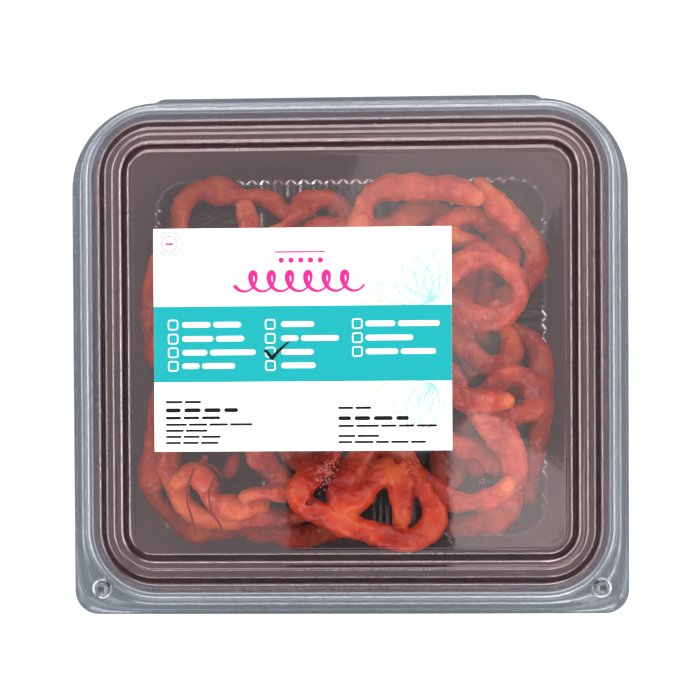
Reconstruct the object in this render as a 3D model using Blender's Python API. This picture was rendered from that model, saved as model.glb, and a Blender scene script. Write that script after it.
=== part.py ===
"""Jalebi in a clear hinged sweet box: a tray and a domed lid of thin plastic, a paper label
on the lid, and a heap of piped, syrup-soaked jalebi in the tray.

Metres, +Z up. The box rests on z = 0 and its bounding box is centred on x = y = 0. +Y is the
hinge side, -Y the side with the snap buttons. Run it with blender --background --python part.py.
"""

import math
from dataclasses import dataclass

import bmesh
import bpy
import numpy as np
from mathutils import Matrix, Vector

MM = 0.001

# ---- Box: driving sizes -------------------------------------------------------------------
WALL = 0.5 * MM                # thickness of the formed sheet
GAP = 0.35 * MM                # clear space wherever two pieces rest on each other
BEAD_LENGTH = 178.6 * MM       # along X, over the outer foot of the rim's bead
BEAD_DEPTH = 166.5 * MM        # along Y
BEAD_CORNER = 24.5 * MM        # plan radius of the bead's corners
BEAD_WIDTH = 4.8 * MM
BEAD_HEIGHT = 3.6 * MM         # over the flange
SIDE_FLANGE = 3.7 * MM         # how far the flat flange reaches past the bead
FRONT_FLANGE = 4.35 * MM
BACK_FLANGE = 1.1 * MM
HINGE_STRIP = 2.3 * MM         # the strip along the back edge that carries the hinge
STRIP_END = 1.2 * MM           # length of the slant at each end of that strip
FRONT_TAB_CORNER = 8.0 * MM    # small radius of the flange's front corners
BACK_CORNER = 29.0 * MM
CORNER_STEPS = 6               # facets in a quarter turn

FLANGE_Z = 37.7 * MM           # top of the tray's flange
FLOOR_TOP = 1.3 * MM           # over the ribbed floor
FLOOR_INSET = 19.3 * MM        # from the bead's foot to the edge of the floor
FLOOR_CORNER = 12.0 * MM
LEDGE_INSET = 14.0 * MM        # shallow step low in the tray's wall
LEDGE_Z = 11.5 * MM
LEDGE_STEP = 1.5 * MM
WALL_SLOPE = 2.87              # rise over run of the wall, where the jalebi lean on it
SHELF_INSET = 8.0 * MM         # lid: top of the outer dome wall
SHELF_END = 13.6 * MM          # lid: foot of the inner dome wall
PANEL_INSET = 16.4 * MM        # lid: edge of the raised top panel
SHELF_Z = 46.6 * MM
PANEL_Z = 49.6 * MM
EDGE_ROUND = 0.8 * MM          # width of the slanted facet that rounds a fold

LABEL_SIZE = (97.5 * MM, 73.0 * MM, 0.2 * MM)
LABEL_CENTRE = (-15.2 * MM, 3.9 * MM)      # from the middle of the rim

BUTTON_AT = (83.6 * MM, 78.9 * MM)         # from the middle of the rim, left and right, towards -Y
BUTTON_RADIUS = 2.5 * MM
BUTTON_HEIGHT = 2.0 * MM
BUTTON_ROOT = 0.3 * MM         # how deep a button is sunk into the sheet that it joins

# ---- Jalebi: driving sizes ----------------------------------------------------------------
STRAND_STEP = 2.5 * MM         # spacing of the rings along a strand
STRAND_SIDES = 10
CURVE_STEPS = 12               # steps between two places on a strand, before it is spaced evenly
CROSSING_LIFT = 1.25           # rise where a strand passes over itself, in strand radii
HEAP_GAP = 0.7 * MM            # between the round strands of two jalebi
SAG = 3.0 * MM                 # how far a soft strand droops into a hollow under it
TILTS = np.linspace(-0.24, 0.24, 9)        # slopes tried while a jalebi settles
SAG_STEPS = 12                 # small steps in which that droop is taken
END_ROUNDING = (0.0, 0.45, 0.8)            # rings that round off a strand's end, in radii from its tip
FUSE_VOXEL = 1.25 * MM
JALEBI_FACES = 298             # triangles in one jalebi

# ---- Colours ------------------------------------------------------------------------------
CLEAR_PLASTIC = ((0.55, 0.53, 0.56), 0.12, 0.35)       # colour, roughness, alpha
LABEL_PAPER = ((0.9, 0.9, 0.9), 0.45, 1.0)
SYRUPY_ORANGE = ((0.52, 0.06, 0.025), 0.22, 1.0)

# ---- Worked out from the driving sizes ----------------------------------------------------
RIM_Y = (FRONT_FLANGE - HINGE_STRIP) / 2    # the rim's middle, so that the bounding box is centred
HINGE_Y = RIM_Y + BEAD_DEPTH / 2 + HINGE_STRIP + GAP / 2
HINGE_Z = FLANGE_Z + GAP / 2
LID_FLANGE_Z = FLANGE_Z + GAP + WALL        # top of the lid's flange


@dataclass(frozen=True)
class Jalebi:
    """One strand of batter as it was piped: the places that it passes, and its thickness.

    Places are (x, y) in mm from the middle of the rim, and the strand runs smoothly through them.
    """

    name: str
    places: tuple
    radius: float = 4.0


# Bottom layer first: each jalebi comes to rest on those before it.
HEAP = (
    # lowest layer, against the floor and the walls
    Jalebi("jalebi_01", ((-67.5, 33.5), (-69.5, 25), (-70, 14.5), (-69, 4), (-65.5, -4.5), (-58, -8.5),
                         (-50, -5), (-47.5, 4), (-51, 12.5), (-58.5, 15.5), (-60.5, 9), (-56, 4.5)), 4.0),
    Jalebi("jalebi_02", ((-66, -12.5), (-68.5, -19.5), (-68.5, -27.5), (-70, -36.5), (-70.5, -43),
                         (-70, -48.5), (-66.5, -53), (-63, -56.5), (-59, -60), (-53, -62), (-46, -60.5),
                         (-40.5, -59.5), (-36, -62)), 4.0),
    Jalebi("jalebi_03", ((57, 10), (62.5, 6.5), (66.5, 3), (67.5, -2), (68, -8), (68.5, -15),
                         (68.5, -20.5), (67.5, -25.5), (66.5, -30.5), (65.5, -35), (65, -40.5), (64, -46),
                         (63.5, -50)), 3.8),
    Jalebi("jalebi_04", ((-39.5, -55), (-37, -60), (-32.5, -62), (-25.5, -61.5), (-20.5, -63.5),
                         (-13.5, -63), (-7.5, -61.5), (-1.5, -57.5), (1, -50.5), (-1.5, -42.5),
                         (-8.5, -37.5), (-17.5, -37.5), (-23.5, -31.5), (-21.5, -23.5),
                         (-13.5, -21.5)), 4.1),
    Jalebi("jalebi_05", ((-47, 36), (-54, 38), (-59.5, 42), (-61.5, 49), (-59.5, 55.5), (-55, 60),
                         (-48.5, 60.5), (-42, 58.5), (-36.5, 57), (-32, 58), (-28, 56), (-24, 53),
                         (-19.5, 49.5), (-17, 43), (-21, 36), (-29, 35)), 3.9),
    Jalebi("jalebi_06", ((60.5, -9.5), (56.5, -14), (51.5, -18), (44.5, -22.5), (39, -27), (38, -33.5),
                         (38, -40.5), (35, -46), (32, -41.5), (31.5, -33.5), (28.5, -24.5), (21.5, -19.5),
                         (13.5, -22.5)), 3.4),
    Jalebi("jalebi_07", ((-26.5, 43.5), (-21.5, 46), (-18, 51.5), (-14, 55), (-9, 56), (-4.5, 54.5),
                         (-1, 51), (3, 47), (9.5, 45.5), (17, 47), (23, 51), (28.5, 52), (34.5, 51),
                         (40.5, 47)), 3.9),
    Jalebi("jalebi_08", ((-37, 53), (-35.5, 47.5), (-36, 40.5), (-41, 33.5), (-45, 25.5), (-40, 18.5),
                         (-31, 17.5), (-24, 23.5), (-19, 31.5), (-15, 40.5), (-8.5, 45), (-1, 43),
                         (2, 35.5), (-3, 29.5)), 4.0),
    Jalebi("jalebi_09", ((8, -7.5), (13, -12), (11, -18), (3, -19), (-3.5, -12.5), (-2, -3.5), (7, 1.5),
                         (18, -0.5), (25, -7.5), (28, -16.5), (31.5, -25), (36.5, -30.5), (42, -33),
                         (47.5, -36), (51.5, -39)), 4.1),
    # middle layer
    Jalebi("jalebi_10", ((13, 26.5), (17, 22.5), (22, 26.5), (20, 33.5), (12, 35.5), (5, 30.5), (5, 21.5),
                         (12, 14.5), (22, 14.5), (30, 21.5), (31, 31.5), (30, 39.5), (33, 45.5),
                         (38.5, 49), (44, 49.5), (49.5, 46.5), (54.5, 41), (57.5, 36), (54, 32),
                         (48.5, 35.5), (42.5, 40.5), (36, 41.5)), 4.0),
    Jalebi("jalebi_11", ((46, 59), (49.5, 54.5), (54, 50), (60, 44.5), (65, 40), (66.5, 35.5), (66, 31),
                         (63, 27), (58, 22.5), (53.5, 21)), 4.3),
    Jalebi("jalebi_12", ((44, -4.5), (41.5, 4.5), (41, 15.5), (41.5, 27.5), (42.5, 35), (45.5, 38),
                         (48, 34.5), (48, 25.5), (48, 15.5), (47.5, 7.5)), 3.3),
    Jalebi("jalebi_13", ((3, 43.5), (4.5, 49.5), (6, 54), (9, 57), (14, 59), (21.5, 58.5), (29.5, 58.5),
                         (35.5, 57.5), (40, 56), (44, 54)), 4.2),
    Jalebi("jalebi_14", ((51, 16.5), (54, 10.5), (56.5, 6), (57, 2.5), (55.5, -2), (51.5, -4.5),
                         (47, -3.5), (42.5, 1), (38, 5.5), (32, 9.5), (24, 8.5), (18, 2.5), (20, -6.5),
                         (28, -9.5)), 4.0),
    Jalebi("jalebi_15", ((48.5, -23), (53, -22.5), (58.5, -21), (63.5, -19.5), (65.5, -16), (64.5, -12),
                         (61.5, -8.5), (57.5, -6.5), (53, -8), (49.5, -12), (45.5, -15.5)), 4.1),
    Jalebi("jalebi_16", ((28.5, -2), (33.5, -6), (37, -11), (41, -17.5), (48, -24), (53, -29),
                         (55.5, -34), (56.5, -40), (56.5, -46), (55, -52.5), (50.5, -57), (43.5, -59.5),
                         (37.5, -60.5)), 4.3),
    # upper layer
    Jalebi("jalebi_17", ((-51.5, -13.5), (-57.5, -17.5), (-61.5, -24.5), (-63, -32.5), (-63, -38.5),
                         (-61, -44), (-59, -50), (-55.5, -54.5), (-49.5, -57), (-44, -56.5),
                         (-37.5, -55.5), (-31.5, -56), (-24.5, -56.5), (-17.5, -55.5)), 4.0),
    Jalebi("jalebi_18", ((-59.5, -43.5), (-56.5, -40.5), (-52, -40.5), (-49.5, -44.5), (-48, -49.5),
                         (-42.5, -52), (-35.5, -52.5), (-30.5, -51)), 4.0),
    Jalebi("jalebi_19", ((-35, -48), (-29, -46.5), (-23, -47.5), (-21, -45), (-24.5, -41.5), (-30, -36),
                         (-33.5, -30.5), (-37.5, -23.5), (-44.5, -18.5), (-47.5, -8.5), (-42.5, 1.5),
                         (-33.5, 2.5), (-28.5, -5.5), (-32.5, -12.5), (-38.5, -9.5)), 4.0),
    Jalebi("jalebi_20", ((7.5, 3), (12.5, -1.5), (9.5, -8), (1.5, -8), (-1.5, -1), (1.5, 8), (10.5, 11),
                         (18.5, 6), (20.5, -4), (15.5, -13), (9.5, -20), (12.5, -28), (19.5, -38.5),
                         (24, -43.5), (29, -48), (35.5, -51), (44, -51), (50, -49.5), (53.5, -45)), 4.1),
    # the highest, close under the lid
    Jalebi("jalebi_21", ((33, 26), (36.5, 30), (42, 32.5), (48, 33), (53.5, 31), (58, 26), (59, 21.5),
                         (57.5, 16.5), (53, 13), (46.5, 12), (39.5, 13.5), (33, 18), (26, 20), (20, 14),
                         (19, 5), (23, -5), (29, -11.5), (35, -14.5), (40, -16), (44.5, -16.5),
                         (49.5, -16.5), (53.5, -16.5)), 4.1),
    Jalebi("jalebi_22", ((-17, 6), (-12, 3.5), (-8, 8.5), (-11.5, 15.5), (-20, 17), (-26.5, 11),
                         (-26.5, 1), (-19, -7), (-9, -10), (-3.5, -17), (-4.5, -26), (-9, -36),
                         (-14, -42), (-17.5, -46.5), (-16, -51), (-11, -53.5), (-4, -56.5), (6, -60.5),
                         (13, -62.5), (19.5, -64), (25, -62), (28.5, -58), (29, -53), (26, -48),
                         (23, -43.5), (19.5, -39.5), (16.5, -34.5), (12.5, -30.5), (7, -32), (1.5, -38.5),
                         (-3.5, -45.5), (-3, -50.5), (1.5, -51), (5, -47.5), (8.5, -42.5), (12.5, -39),
                         (16.5, -41.5), (17.5, -48), (17.5, -56)), 4.1),
)


def clear_scene():
    """Start from an empty file."""
    for item in list(bpy.data.objects):
        bpy.data.objects.remove(item, do_unlink=True)


def principled(name, look):
    """A Principled material from (colour, roughness, alpha)."""
    colour, roughness, alpha = look
    material = bpy.data.materials.new(name)
    material.use_nodes = True
    shader = material.node_tree.nodes["Principled BSDF"]
    shader.inputs["Base Color"].default_value = (*colour, 1.0)
    shader.inputs["Roughness"].default_value = roughness
    shader.inputs["Metallic"].default_value = 0.0
    shader.inputs["Alpha"].default_value = alpha
    return material


def add_object(name, bm, look):
    """Turn a bmesh into a named object with its own material."""
    mesh = bpy.data.meshes.new(name)
    bm.to_mesh(mesh)
    bm.free()
    thing = bpy.data.objects.new(name, mesh)
    bpy.context.collection.objects.link(thing)
    mesh.materials.append(principled(name + "_material", look))
    return thing


# ---- The formed sheets --------------------------------------------------------------------
def rounded_ring(half_x, half_y, front, back, z, strip=0.0):
    """Points round a rectangle whose front and back corners have their own radii.

    Two extra points near the ends of the back edge can push it out by strip.
    """
    corners = (
        (1, 1, back, 0), (-1, 1, back, 90), (-1, -1, front, 180), (1, -1, front, 270),
    )
    ring = []
    for sign_x, sign_y, radius, first in corners:
        centre = (sign_x * (half_x - radius), sign_y * (half_y - radius))
        for step in range(CORNER_STEPS + 1):
            angle = math.radians(first + 90 * step / CORNER_STEPS)
            ring.append((centre[0] + radius * math.cos(angle),
                         RIM_Y + centre[1] + radius * math.sin(angle), z))
        if first == 0:
            straight = half_x - back - STRIP_END
            ring.append((straight, RIM_Y + half_y + strip, z))
            ring.append((-straight, RIM_Y + half_y + strip, z))
    return ring


def flange_edge(z, shrink=0.0):
    """Outer edge of a flange: small front corners, wide back corners and the hinge strip."""
    half_x = BEAD_LENGTH / 2 + SIDE_FLANGE - shrink
    front_y = BEAD_DEPTH / 2 + FRONT_FLANGE - shrink
    back_y = BEAD_DEPTH / 2 + BACK_FLANGE - shrink
    middle = (back_y - front_y) / 2
    ring = rounded_ring(half_x, (front_y + back_y) / 2, FRONT_TAB_CORNER, BACK_CORNER, z,
                        HINGE_STRIP - BACK_FLANGE)
    return [(x, y + middle, height) for x, y, height in ring]


def section_ring(inset, z, corner):
    """One ring of a sheet, inset from the foot of the bead."""
    return rounded_ring(BEAD_LENGTH / 2 - inset, BEAD_DEPTH / 2 - inset, corner, corner, z)


def bead_arc(width, height, foot_inset, foot_z):
    """The rim's bead in section: half an ellipse over its two feet."""
    angles = [math.radians(180 - 180 * step / 4) for step in range(5)]
    middle = foot_inset + width / 2
    return [(middle + width / 2 * math.cos(a), foot_z + height * math.sin(a)) for a in angles]


def offset_section(section, distance):
    """Move a section (inset, z) towards its underside by a distance, with mitred corners."""
    points = np.array(section)
    runs = np.diff(points, axis=0)
    runs /= np.linalg.norm(runs, axis=1)[:, None]
    normals = np.column_stack((runs[:, 1], -runs[:, 0]))
    before = np.vstack((normals[:1], normals))
    after = np.vstack((normals, normals[-1:]))
    joined = before + after
    joined /= np.linalg.norm(joined, axis=1)[:, None]
    stretch = 1 / np.clip((joined * before).sum(axis=1), 0.5, 1)
    return points + joined * (distance * stretch)[:, None]


def corner_radius(inset, gain):
    """Plan radius of the corners: concentric over the bead, then easing by gain to the floor's."""
    share = min(max((inset - BEAD_WIDTH) / (FLOOR_INSET - BEAD_WIDTH), 0), 1)
    return BEAD_CORNER - inset + share * gain


def formed_sheet(upper, lower, edge_z, corner_gain):
    """A closed thin shell from its upper and lower sections, flange edge to middle."""
    rings = []
    for section, z in ((upper, edge_z), (lower, edge_z - WALL)):
        side = [flange_edge(z)]
        side += [section_ring(inset, height, corner_radius(inset, corner_gain))
                 for inset, height in section]
        rings.append(side)
    bm = bmesh.new()
    loops = [[[bm.verts.new(p) for p in ring] for ring in side] for side in rings]
    for side, flip in ((loops[0], False), (loops[1], True)):
        for outer, inner in zip(side, side[1:]):
            band(bm, outer, inner, flip)
        bm.faces.new(side[-1] if not flip else side[-1][::-1])
    band(bm, loops[1][0], loops[0][0], False)
    bmesh.ops.recalc_face_normals(bm, faces=bm.faces)
    return bm


def band(bm, outer, inner, flip):
    """A strip of quads between two rings of the same count."""
    count = len(outer)
    for i in range(count):
        j = (i + 1) % count
        face = [outer[i], outer[j], inner[j], inner[i]]
        bm.faces.new(face[::-1] if flip else face)


def lid_section():
    """Upper side of the lid, from the bead's outer foot to the edge of the top panel."""
    section = bead_arc(BEAD_WIDTH, BEAD_HEIGHT, 0, LID_FLANGE_Z)
    section += [
        (SHELF_INSET - EDGE_ROUND / 2, SHELF_Z - EDGE_ROUND),
        (SHELF_INSET + EDGE_ROUND, SHELF_Z),
        (SHELF_END, SHELF_Z),
        (PANEL_INSET - EDGE_ROUND / 2, PANEL_Z - EDGE_ROUND / 2),
        (PANEL_INSET + EDGE_ROUND, PANEL_Z),
    ]
    return section


def tray_section():
    """Upper side of the tray: the bead inside the lid's bead, then the wall down to the floor."""
    nest = WALL + GAP
    section = bead_arc(BEAD_WIDTH - 2 * nest, BEAD_HEIGHT - GAP, nest, FLANGE_Z)
    section += [
        (BEAD_WIDTH, FLANGE_Z - 2 * EDGE_ROUND),
        (LEDGE_INSET, LEDGE_Z),
        (LEDGE_INSET + LEDGE_STEP, LEDGE_Z - EDGE_ROUND),
        (FLOOR_INSET - EDGE_ROUND, FLOOR_TOP + EDGE_ROUND),
        (FLOOR_INSET + EDGE_ROUND, FLOOR_TOP),
    ]
    return section


def buttons(name, radius, height, z, look):
    """The two snap buttons near the front corners, as one guide object of two domes.

    Each dome rises by height over z and reaches BUTTON_ROOT below it.
    """
    bm = bmesh.new()
    for side in (-1, 1):
        made = bmesh.ops.create_uvsphere(bm, u_segments=12, v_segments=6, radius=1.0)
        for vert in made["verts"]:
            rise = height if vert.co.z > 0 else BUTTON_ROOT
            vert.co = Vector((vert.co.x * radius + side * BUTTON_AT[0],
                              vert.co.y * radius + RIM_Y - BUTTON_AT[1],
                              z + vert.co.z * rise))
    guide = add_object(name, bm, look)
    guide.hide_render = True
    guide.display_type = "WIRE"
    return guide


def combine(thing, guide, operation):
    """Add or cut a guide's shape with an exact Boolean."""
    modifier = thing.modifiers.new(guide.name, "BOOLEAN")
    modifier.object = guide
    modifier.operation = operation
    modifier.solver = "EXACT"


def build_tray():
    """Tray: floor, drafted wall with a low ledge, bead, flange and two snap studs."""
    upper = tray_section()
    lower = offset_section(upper, WALL)
    lower[-2:] = ((FLOOR_INSET - EDGE_ROUND, EDGE_ROUND), (FLOOR_INSET, 0.0))
    corner_gain = FLOOR_CORNER - (BEAD_CORNER - FLOOR_INSET)
    tray = add_object("tray", formed_sheet(upper, lower, FLANGE_Z, corner_gain), CLEAR_PLASTIC)
    studs = buttons("tray_studs", BUTTON_RADIUS - WALL - GAP, BUTTON_HEIGHT - WALL,
                    FLANGE_Z - WALL / 2, CLEAR_PLASTIC)
    combine(tray, studs, "UNION")
    return tray


def build_lid():
    """Lid: stepped dome, bead, flange and two hollow snap buttons."""
    upper = lid_section()
    lower = offset_section(upper, WALL)
    lid = add_object("lid", formed_sheet(upper, lower, LID_FLANGE_Z, 0.0), CLEAR_PLASTIC)
    caps = buttons("lid_buttons", BUTTON_RADIUS, BUTTON_HEIGHT, LID_FLANGE_Z - WALL / 2, CLEAR_PLASTIC)
    hollows = buttons("lid_button_hollows", BUTTON_RADIUS - WALL, BUTTON_HEIGHT - WALL,
                      LID_FLANGE_Z - WALL, CLEAR_PLASTIC)
    combine(lid, caps, "UNION")
    combine(lid, hollows, "DIFFERENCE")
    return lid


def build_label():
    """Paper label on the top panel."""
    bm = bmesh.new()
    bmesh.ops.create_cube(bm, size=1.0)
    centre = Vector((LABEL_CENTRE[0], RIM_Y + LABEL_CENTRE[1], PANEL_Z + GAP + LABEL_SIZE[2] / 2))
    for vert in bm.verts:
        vert.co = centre + Vector([c * s for c, s in zip(vert.co, LABEL_SIZE)])
    return add_object("label", bm, LABEL_PAPER)


def hang_on_hinge(pieces):
    """Parent the moving pieces to an empty on the hinge axis."""
    hinge = bpy.data.objects.new("hinge_axis", None)
    hinge.location = (0, HINGE_Y, HINGE_Z)
    bpy.context.collection.objects.link(hinge)
    for piece in pieces:
        piece.data.transform(Matrix.Translation((0, -HINGE_Y, -HINGE_Z)))
        piece.parent = hinge


# ---- The jalebi ---------------------------------------------------------------------------
def piped_path(jalebi):
    """The strand's plan: a Catmull-Rom curve through its places, in even steps.

    Between places b and c, with a before and d after them, it is
    (2b + (c - a) t + (2a - 5b + 4c - d) t^2 + (3b - a - 3c + d) t^3) / 2.
    """
    places = np.array(jalebi.places) * MM + (0, RIM_Y)
    places = np.vstack((2 * places[0] - places[1], places, 2 * places[-1] - places[-2]))
    a, b, c, d = (places[k:len(places) - 3 + k, None] for k in range(4))
    t = np.linspace(0, 1, CURVE_STEPS, endpoint=False)[None, :, None]
    curve = (2 * b + (c - a) * t + (2 * a - 5 * b + 4 * c - d) * t ** 2 + (3 * b - a - 3 * c + d) * t ** 3) / 2
    curve = np.vstack((curve.reshape(-1, 2), places[-2]))
    travelled = np.concatenate(([0], np.cumsum(np.linalg.norm(np.diff(curve, axis=0), axis=1))))
    steps = max(2, round(travelled[-1] / STRAND_STEP))
    even = np.linspace(0, travelled[-1], steps + 1)
    path = np.column_stack([np.interp(even, travelled, curve[:, k]) for k in range(2)])
    return smooth(path, 1)


def smooth(values, rounds):
    """Average each inner row with its neighbours, so that they run into each other."""
    values = values.copy()
    for _ in range(rounds):
        values[1:-1] = (values[:-2] + 2 * values[1:-1] + values[2:]) / 4
    return values


def strand_radii(jalebi, count):
    """Uneven thickness: slow swells along the strand, and thinner ends."""
    along = np.linspace(0, 1, count)
    phase = sum(jalebi.places[0])
    swell = 1 + 0.09 * np.sin(14 * along + phase) + 0.06 * np.sin(37 * along + 2 * phase)
    ends = 0.8 + 0.2 * np.clip(np.minimum(along, 1 - along) * count / 3, 0, 1)
    return jalebi.radius * MM * swell * ends


def plan_distance(a, b):
    """Distances in plan between every point of a and every point of b."""
    return np.hypot(a[:, None, 0] - b[None, :, 0], a[:, None, 1] - b[None, :, 1])


def self_crossings(path, radii):
    """Rise of each point over the strand's own earlier turns, fused into them."""
    rise = np.zeros(len(path))
    reach = radii[:, None] + radii[None, :]
    near = np.clip(1 - (plan_distance(path, path) / reach) ** 2, 0, 1)
    for i in range(8, len(path)):
        over = rise[:i - 7] + CROSSING_LIFT * radii[i] * np.sqrt(near[i, :i - 7])
        rise[i] = over[near[i, :i - 7] > 0].max() if (near[i, :i - 7] > 0).any() else 0
    return smooth(rise, 3)


def beyond_floor(path):
    """Plan distance of each point past the floor's rounded outline, negative inside it."""
    half = np.array((BEAD_LENGTH, BEAD_DEPTH)) / 2 - FLOOR_INSET
    past = np.abs(path - np.array((0, RIM_Y))) - (half - FLOOR_CORNER)
    outside = np.linalg.norm(np.clip(past, 0, None), axis=1)
    return outside + np.minimum(past.max(axis=1), 0) - FLOOR_CORNER


def needed_heights(path, radii, below):
    """Lowest centre height of each point that clears the floor, the wall and the strands below.

    The wall is taken as a plane of slope WALL_SLOPE that rises from the edge of the floor.
    """
    clear = radii + GAP
    wall_lean = math.cos(math.atan(1 / WALL_SLOPE))
    up_the_wall = FLOOR_TOP + WALL_SLOPE * (beyond_floor(path) + clear / wall_lean)
    heights = np.maximum(FLOOR_TOP + clear, up_the_wall)
    for other, other_radii in below:
        reach = radii[:, None] + other_radii[None, :] + HEAP_GAP
        square = reach ** 2 - plan_distance(path, other) ** 2
        over = np.where(square > 0, other[None, :, 2] + np.sqrt(np.clip(square, 0, None)), 0)
        heights = np.maximum(heights, over.max(axis=1))
    return heights


def settle(jalebi, below):
    """Lower a jalebi onto the heap: choose the tilt that lets it lie lowest, then let it sag."""
    path = piped_path(jalebi)
    radii = strand_radii(jalebi, len(path))
    rise = self_crossings(path, radii)
    needed = needed_heights(path, radii, below)
    middle = path.mean(axis=0)
    stiff = None
    for slope_x in TILTS:
        for slope_y in TILTS:
            shape = rise + (path - middle) @ np.array((slope_x, slope_y))
            shape += (needed - shape).max()
            if stiff is None or shape.mean() < stiff.mean():
                stiff = shape
    heights = stiff
    for _ in range(SAG_STEPS):
        lowered = np.maximum(heights - SAG / SAG_STEPS, stiff - SAG)
        heights = np.maximum(needed, smooth(np.maximum(needed, lowered), 1))
    return np.column_stack((path, heights)), radii


def strand_mesh(path, radii):
    """A closed tube along the path, its ends rounded off."""
    runs = np.gradient(path, axis=0)
    runs /= np.linalg.norm(runs, axis=1)[:, None]
    side = np.cross(runs, (0, 0, 1))
    side /= np.linalg.norm(side, axis=1)[:, None]
    up = np.cross(side, runs)
    past_end = [(1 - tip, math.sqrt(1 - (1 - tip) ** 2)) for tip in END_ROUNDING]
    rings = [(path[0] - runs[0] * radii[0] * reach, radii[0] * width, 0) for reach, width in past_end]
    rings += [(path[i], radii[i], i) for i in range(len(path))]
    rings += [(path[-1] + runs[-1] * radii[-1] * reach, radii[-1] * width, -1)
              for reach, width in reversed(past_end)]
    bm = bmesh.new()
    angles = [2 * math.pi * k / STRAND_SIDES for k in range(STRAND_SIDES)]
    loops = []
    for centre, radius, i in rings:
        if radius == 0:
            loops.append([bm.verts.new(centre)])
            continue
        loops.append([bm.verts.new(centre + radius * (math.cos(a) * side[i] + math.sin(a) * up[i]))
                      for a in angles])
    for one, two in zip(loops, loops[1:]):
        for k in range(STRAND_SIDES):
            m = (k + 1) % STRAND_SIDES
            if len(one) == 1:
                bm.faces.new((one[0], two[m], two[k]))
            elif len(two) == 1:
                bm.faces.new((one[k], one[m], two[0]))
            else:
                bm.faces.new((one[k], one[m], two[m], two[k]))
    bmesh.ops.recalc_face_normals(bm, faces=bm.faces)
    return bm


def build_jalebi(jalebi, below):
    """One jalebi, its crossings fused into one body of few faces. Returns its path and radii."""
    path, radii = settle(jalebi, below)
    thing = add_object(jalebi.name, strand_mesh(path, radii), SYRUPY_ORANGE)
    fuse = thing.modifiers.new("fuse", "REMESH")
    fuse.mode = "VOXEL"
    fuse.voxel_size = FUSE_VOXEL
    depsgraph = bpy.context.evaluated_depsgraph_get()
    faces = sum(len(p.vertices) - 2 for p in thing.evaluated_get(depsgraph).data.polygons)
    thin = thing.modifiers.new("thin", "DECIMATE")
    thin.ratio = min(1.0, JALEBI_FACES / faces)
    thing.data.shade_smooth()
    return path, radii


def main():
    """Build the box, then the heap from the bottom up."""
    clear_scene()
    build_tray()
    hang_on_hinge((build_lid(), build_label()))
    below = []
    for jalebi in HEAP:
        below.append(build_jalebi(jalebi, below))


main()
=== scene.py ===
"""Looks of a clear hinged sweet box filled with jalebi.

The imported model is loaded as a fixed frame. Round it this script makes the fine formed sheets of
the tray and the lid, the printed label, the syrup on the lid and every piped jalebi, and then the
floor, the light and the camera. Lengths are in metres, +Z is up and +Y is the hinge side.
"""

import logging
import math
from dataclasses import dataclass
from enum import Enum

import bpy
import numpy as np
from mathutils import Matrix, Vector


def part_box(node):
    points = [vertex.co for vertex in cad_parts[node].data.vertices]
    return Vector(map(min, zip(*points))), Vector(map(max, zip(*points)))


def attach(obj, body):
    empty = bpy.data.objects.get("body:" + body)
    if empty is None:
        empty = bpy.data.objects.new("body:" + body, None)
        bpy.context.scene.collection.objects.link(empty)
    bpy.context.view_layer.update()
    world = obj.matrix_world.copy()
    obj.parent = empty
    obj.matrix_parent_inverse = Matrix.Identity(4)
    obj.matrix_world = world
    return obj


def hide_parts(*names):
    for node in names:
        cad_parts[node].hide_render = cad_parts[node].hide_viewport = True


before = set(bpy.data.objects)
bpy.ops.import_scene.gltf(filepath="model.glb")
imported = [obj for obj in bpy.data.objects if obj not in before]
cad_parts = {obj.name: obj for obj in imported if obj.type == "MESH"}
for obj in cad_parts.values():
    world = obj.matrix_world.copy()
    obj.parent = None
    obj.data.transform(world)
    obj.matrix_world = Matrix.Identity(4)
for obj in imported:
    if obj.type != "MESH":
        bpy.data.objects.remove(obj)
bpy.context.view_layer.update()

LOG = logging.getLogger("sweet_box")
MM = 0.001
# Painted shade: how much a formed sheet's tint is darkened at its leaning walls.
WALL_SHADE_MARK = "painted_wall_shade"
RIM_MARK = "open_rim"
GLINT_MARK = "sharp_fold"
TIP_MARK = "dry_tip"
Colour = tuple[float, float, float]


# ---- Small tools ----------------------------------------------------------------------------
def smooth_rise(value: np.ndarray, low: float, high: float) -> np.ndarray:
    """Rise from 0 at low to 1 at high along 3t^2 - 2t^3.

    Args:
        value: Numbers of any shape.
        low: Where the rise starts.
        high: Where the rise ends; it may lie below low, and then the rise runs backwards.

    Returns:
        The rise at every value.
    """
    share = np.clip((value - low) / (high - low), 0.0, 1.0)
    return share * share * (3 - 2 * share)


def unit_rows(rows: np.ndarray) -> np.ndarray:
    """Every row drawn out or in to a length of 1."""
    return rows / np.linalg.norm(rows, axis=1, keepdims=True)


def circle(angle: np.ndarray) -> np.ndarray:
    """Points of the unit circle, (cos a, sin a), for every angle."""
    return np.column_stack((np.cos(angle), np.sin(angle)))


def distance_along(path: np.ndarray) -> np.ndarray:
    """How far along a path each of its points lies: the sum of the steps before it."""
    return np.concatenate(([0], np.cumsum(np.linalg.norm(np.diff(path, axis=0), axis=1))))


def points_at(path: np.ndarray, known: np.ndarray, wanted: np.ndarray) -> np.ndarray:
    """Points on a path's straight stretches.

    Args:
        path: The path's points.
        known: How far along each of them lies.
        wanted: How far along the new points lie.

    Returns:
        The new points.
    """
    return np.column_stack([np.interp(wanted, known, column) for column in path.T])


def turned(points: np.ndarray, degrees: float) -> np.ndarray:
    """Points of a plane, turned anticlockwise about its origin."""
    c, s = math.cos(math.radians(degrees)), math.sin(math.radians(degrees))
    return points @ np.array(((c, s), (-s, c)))


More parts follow.
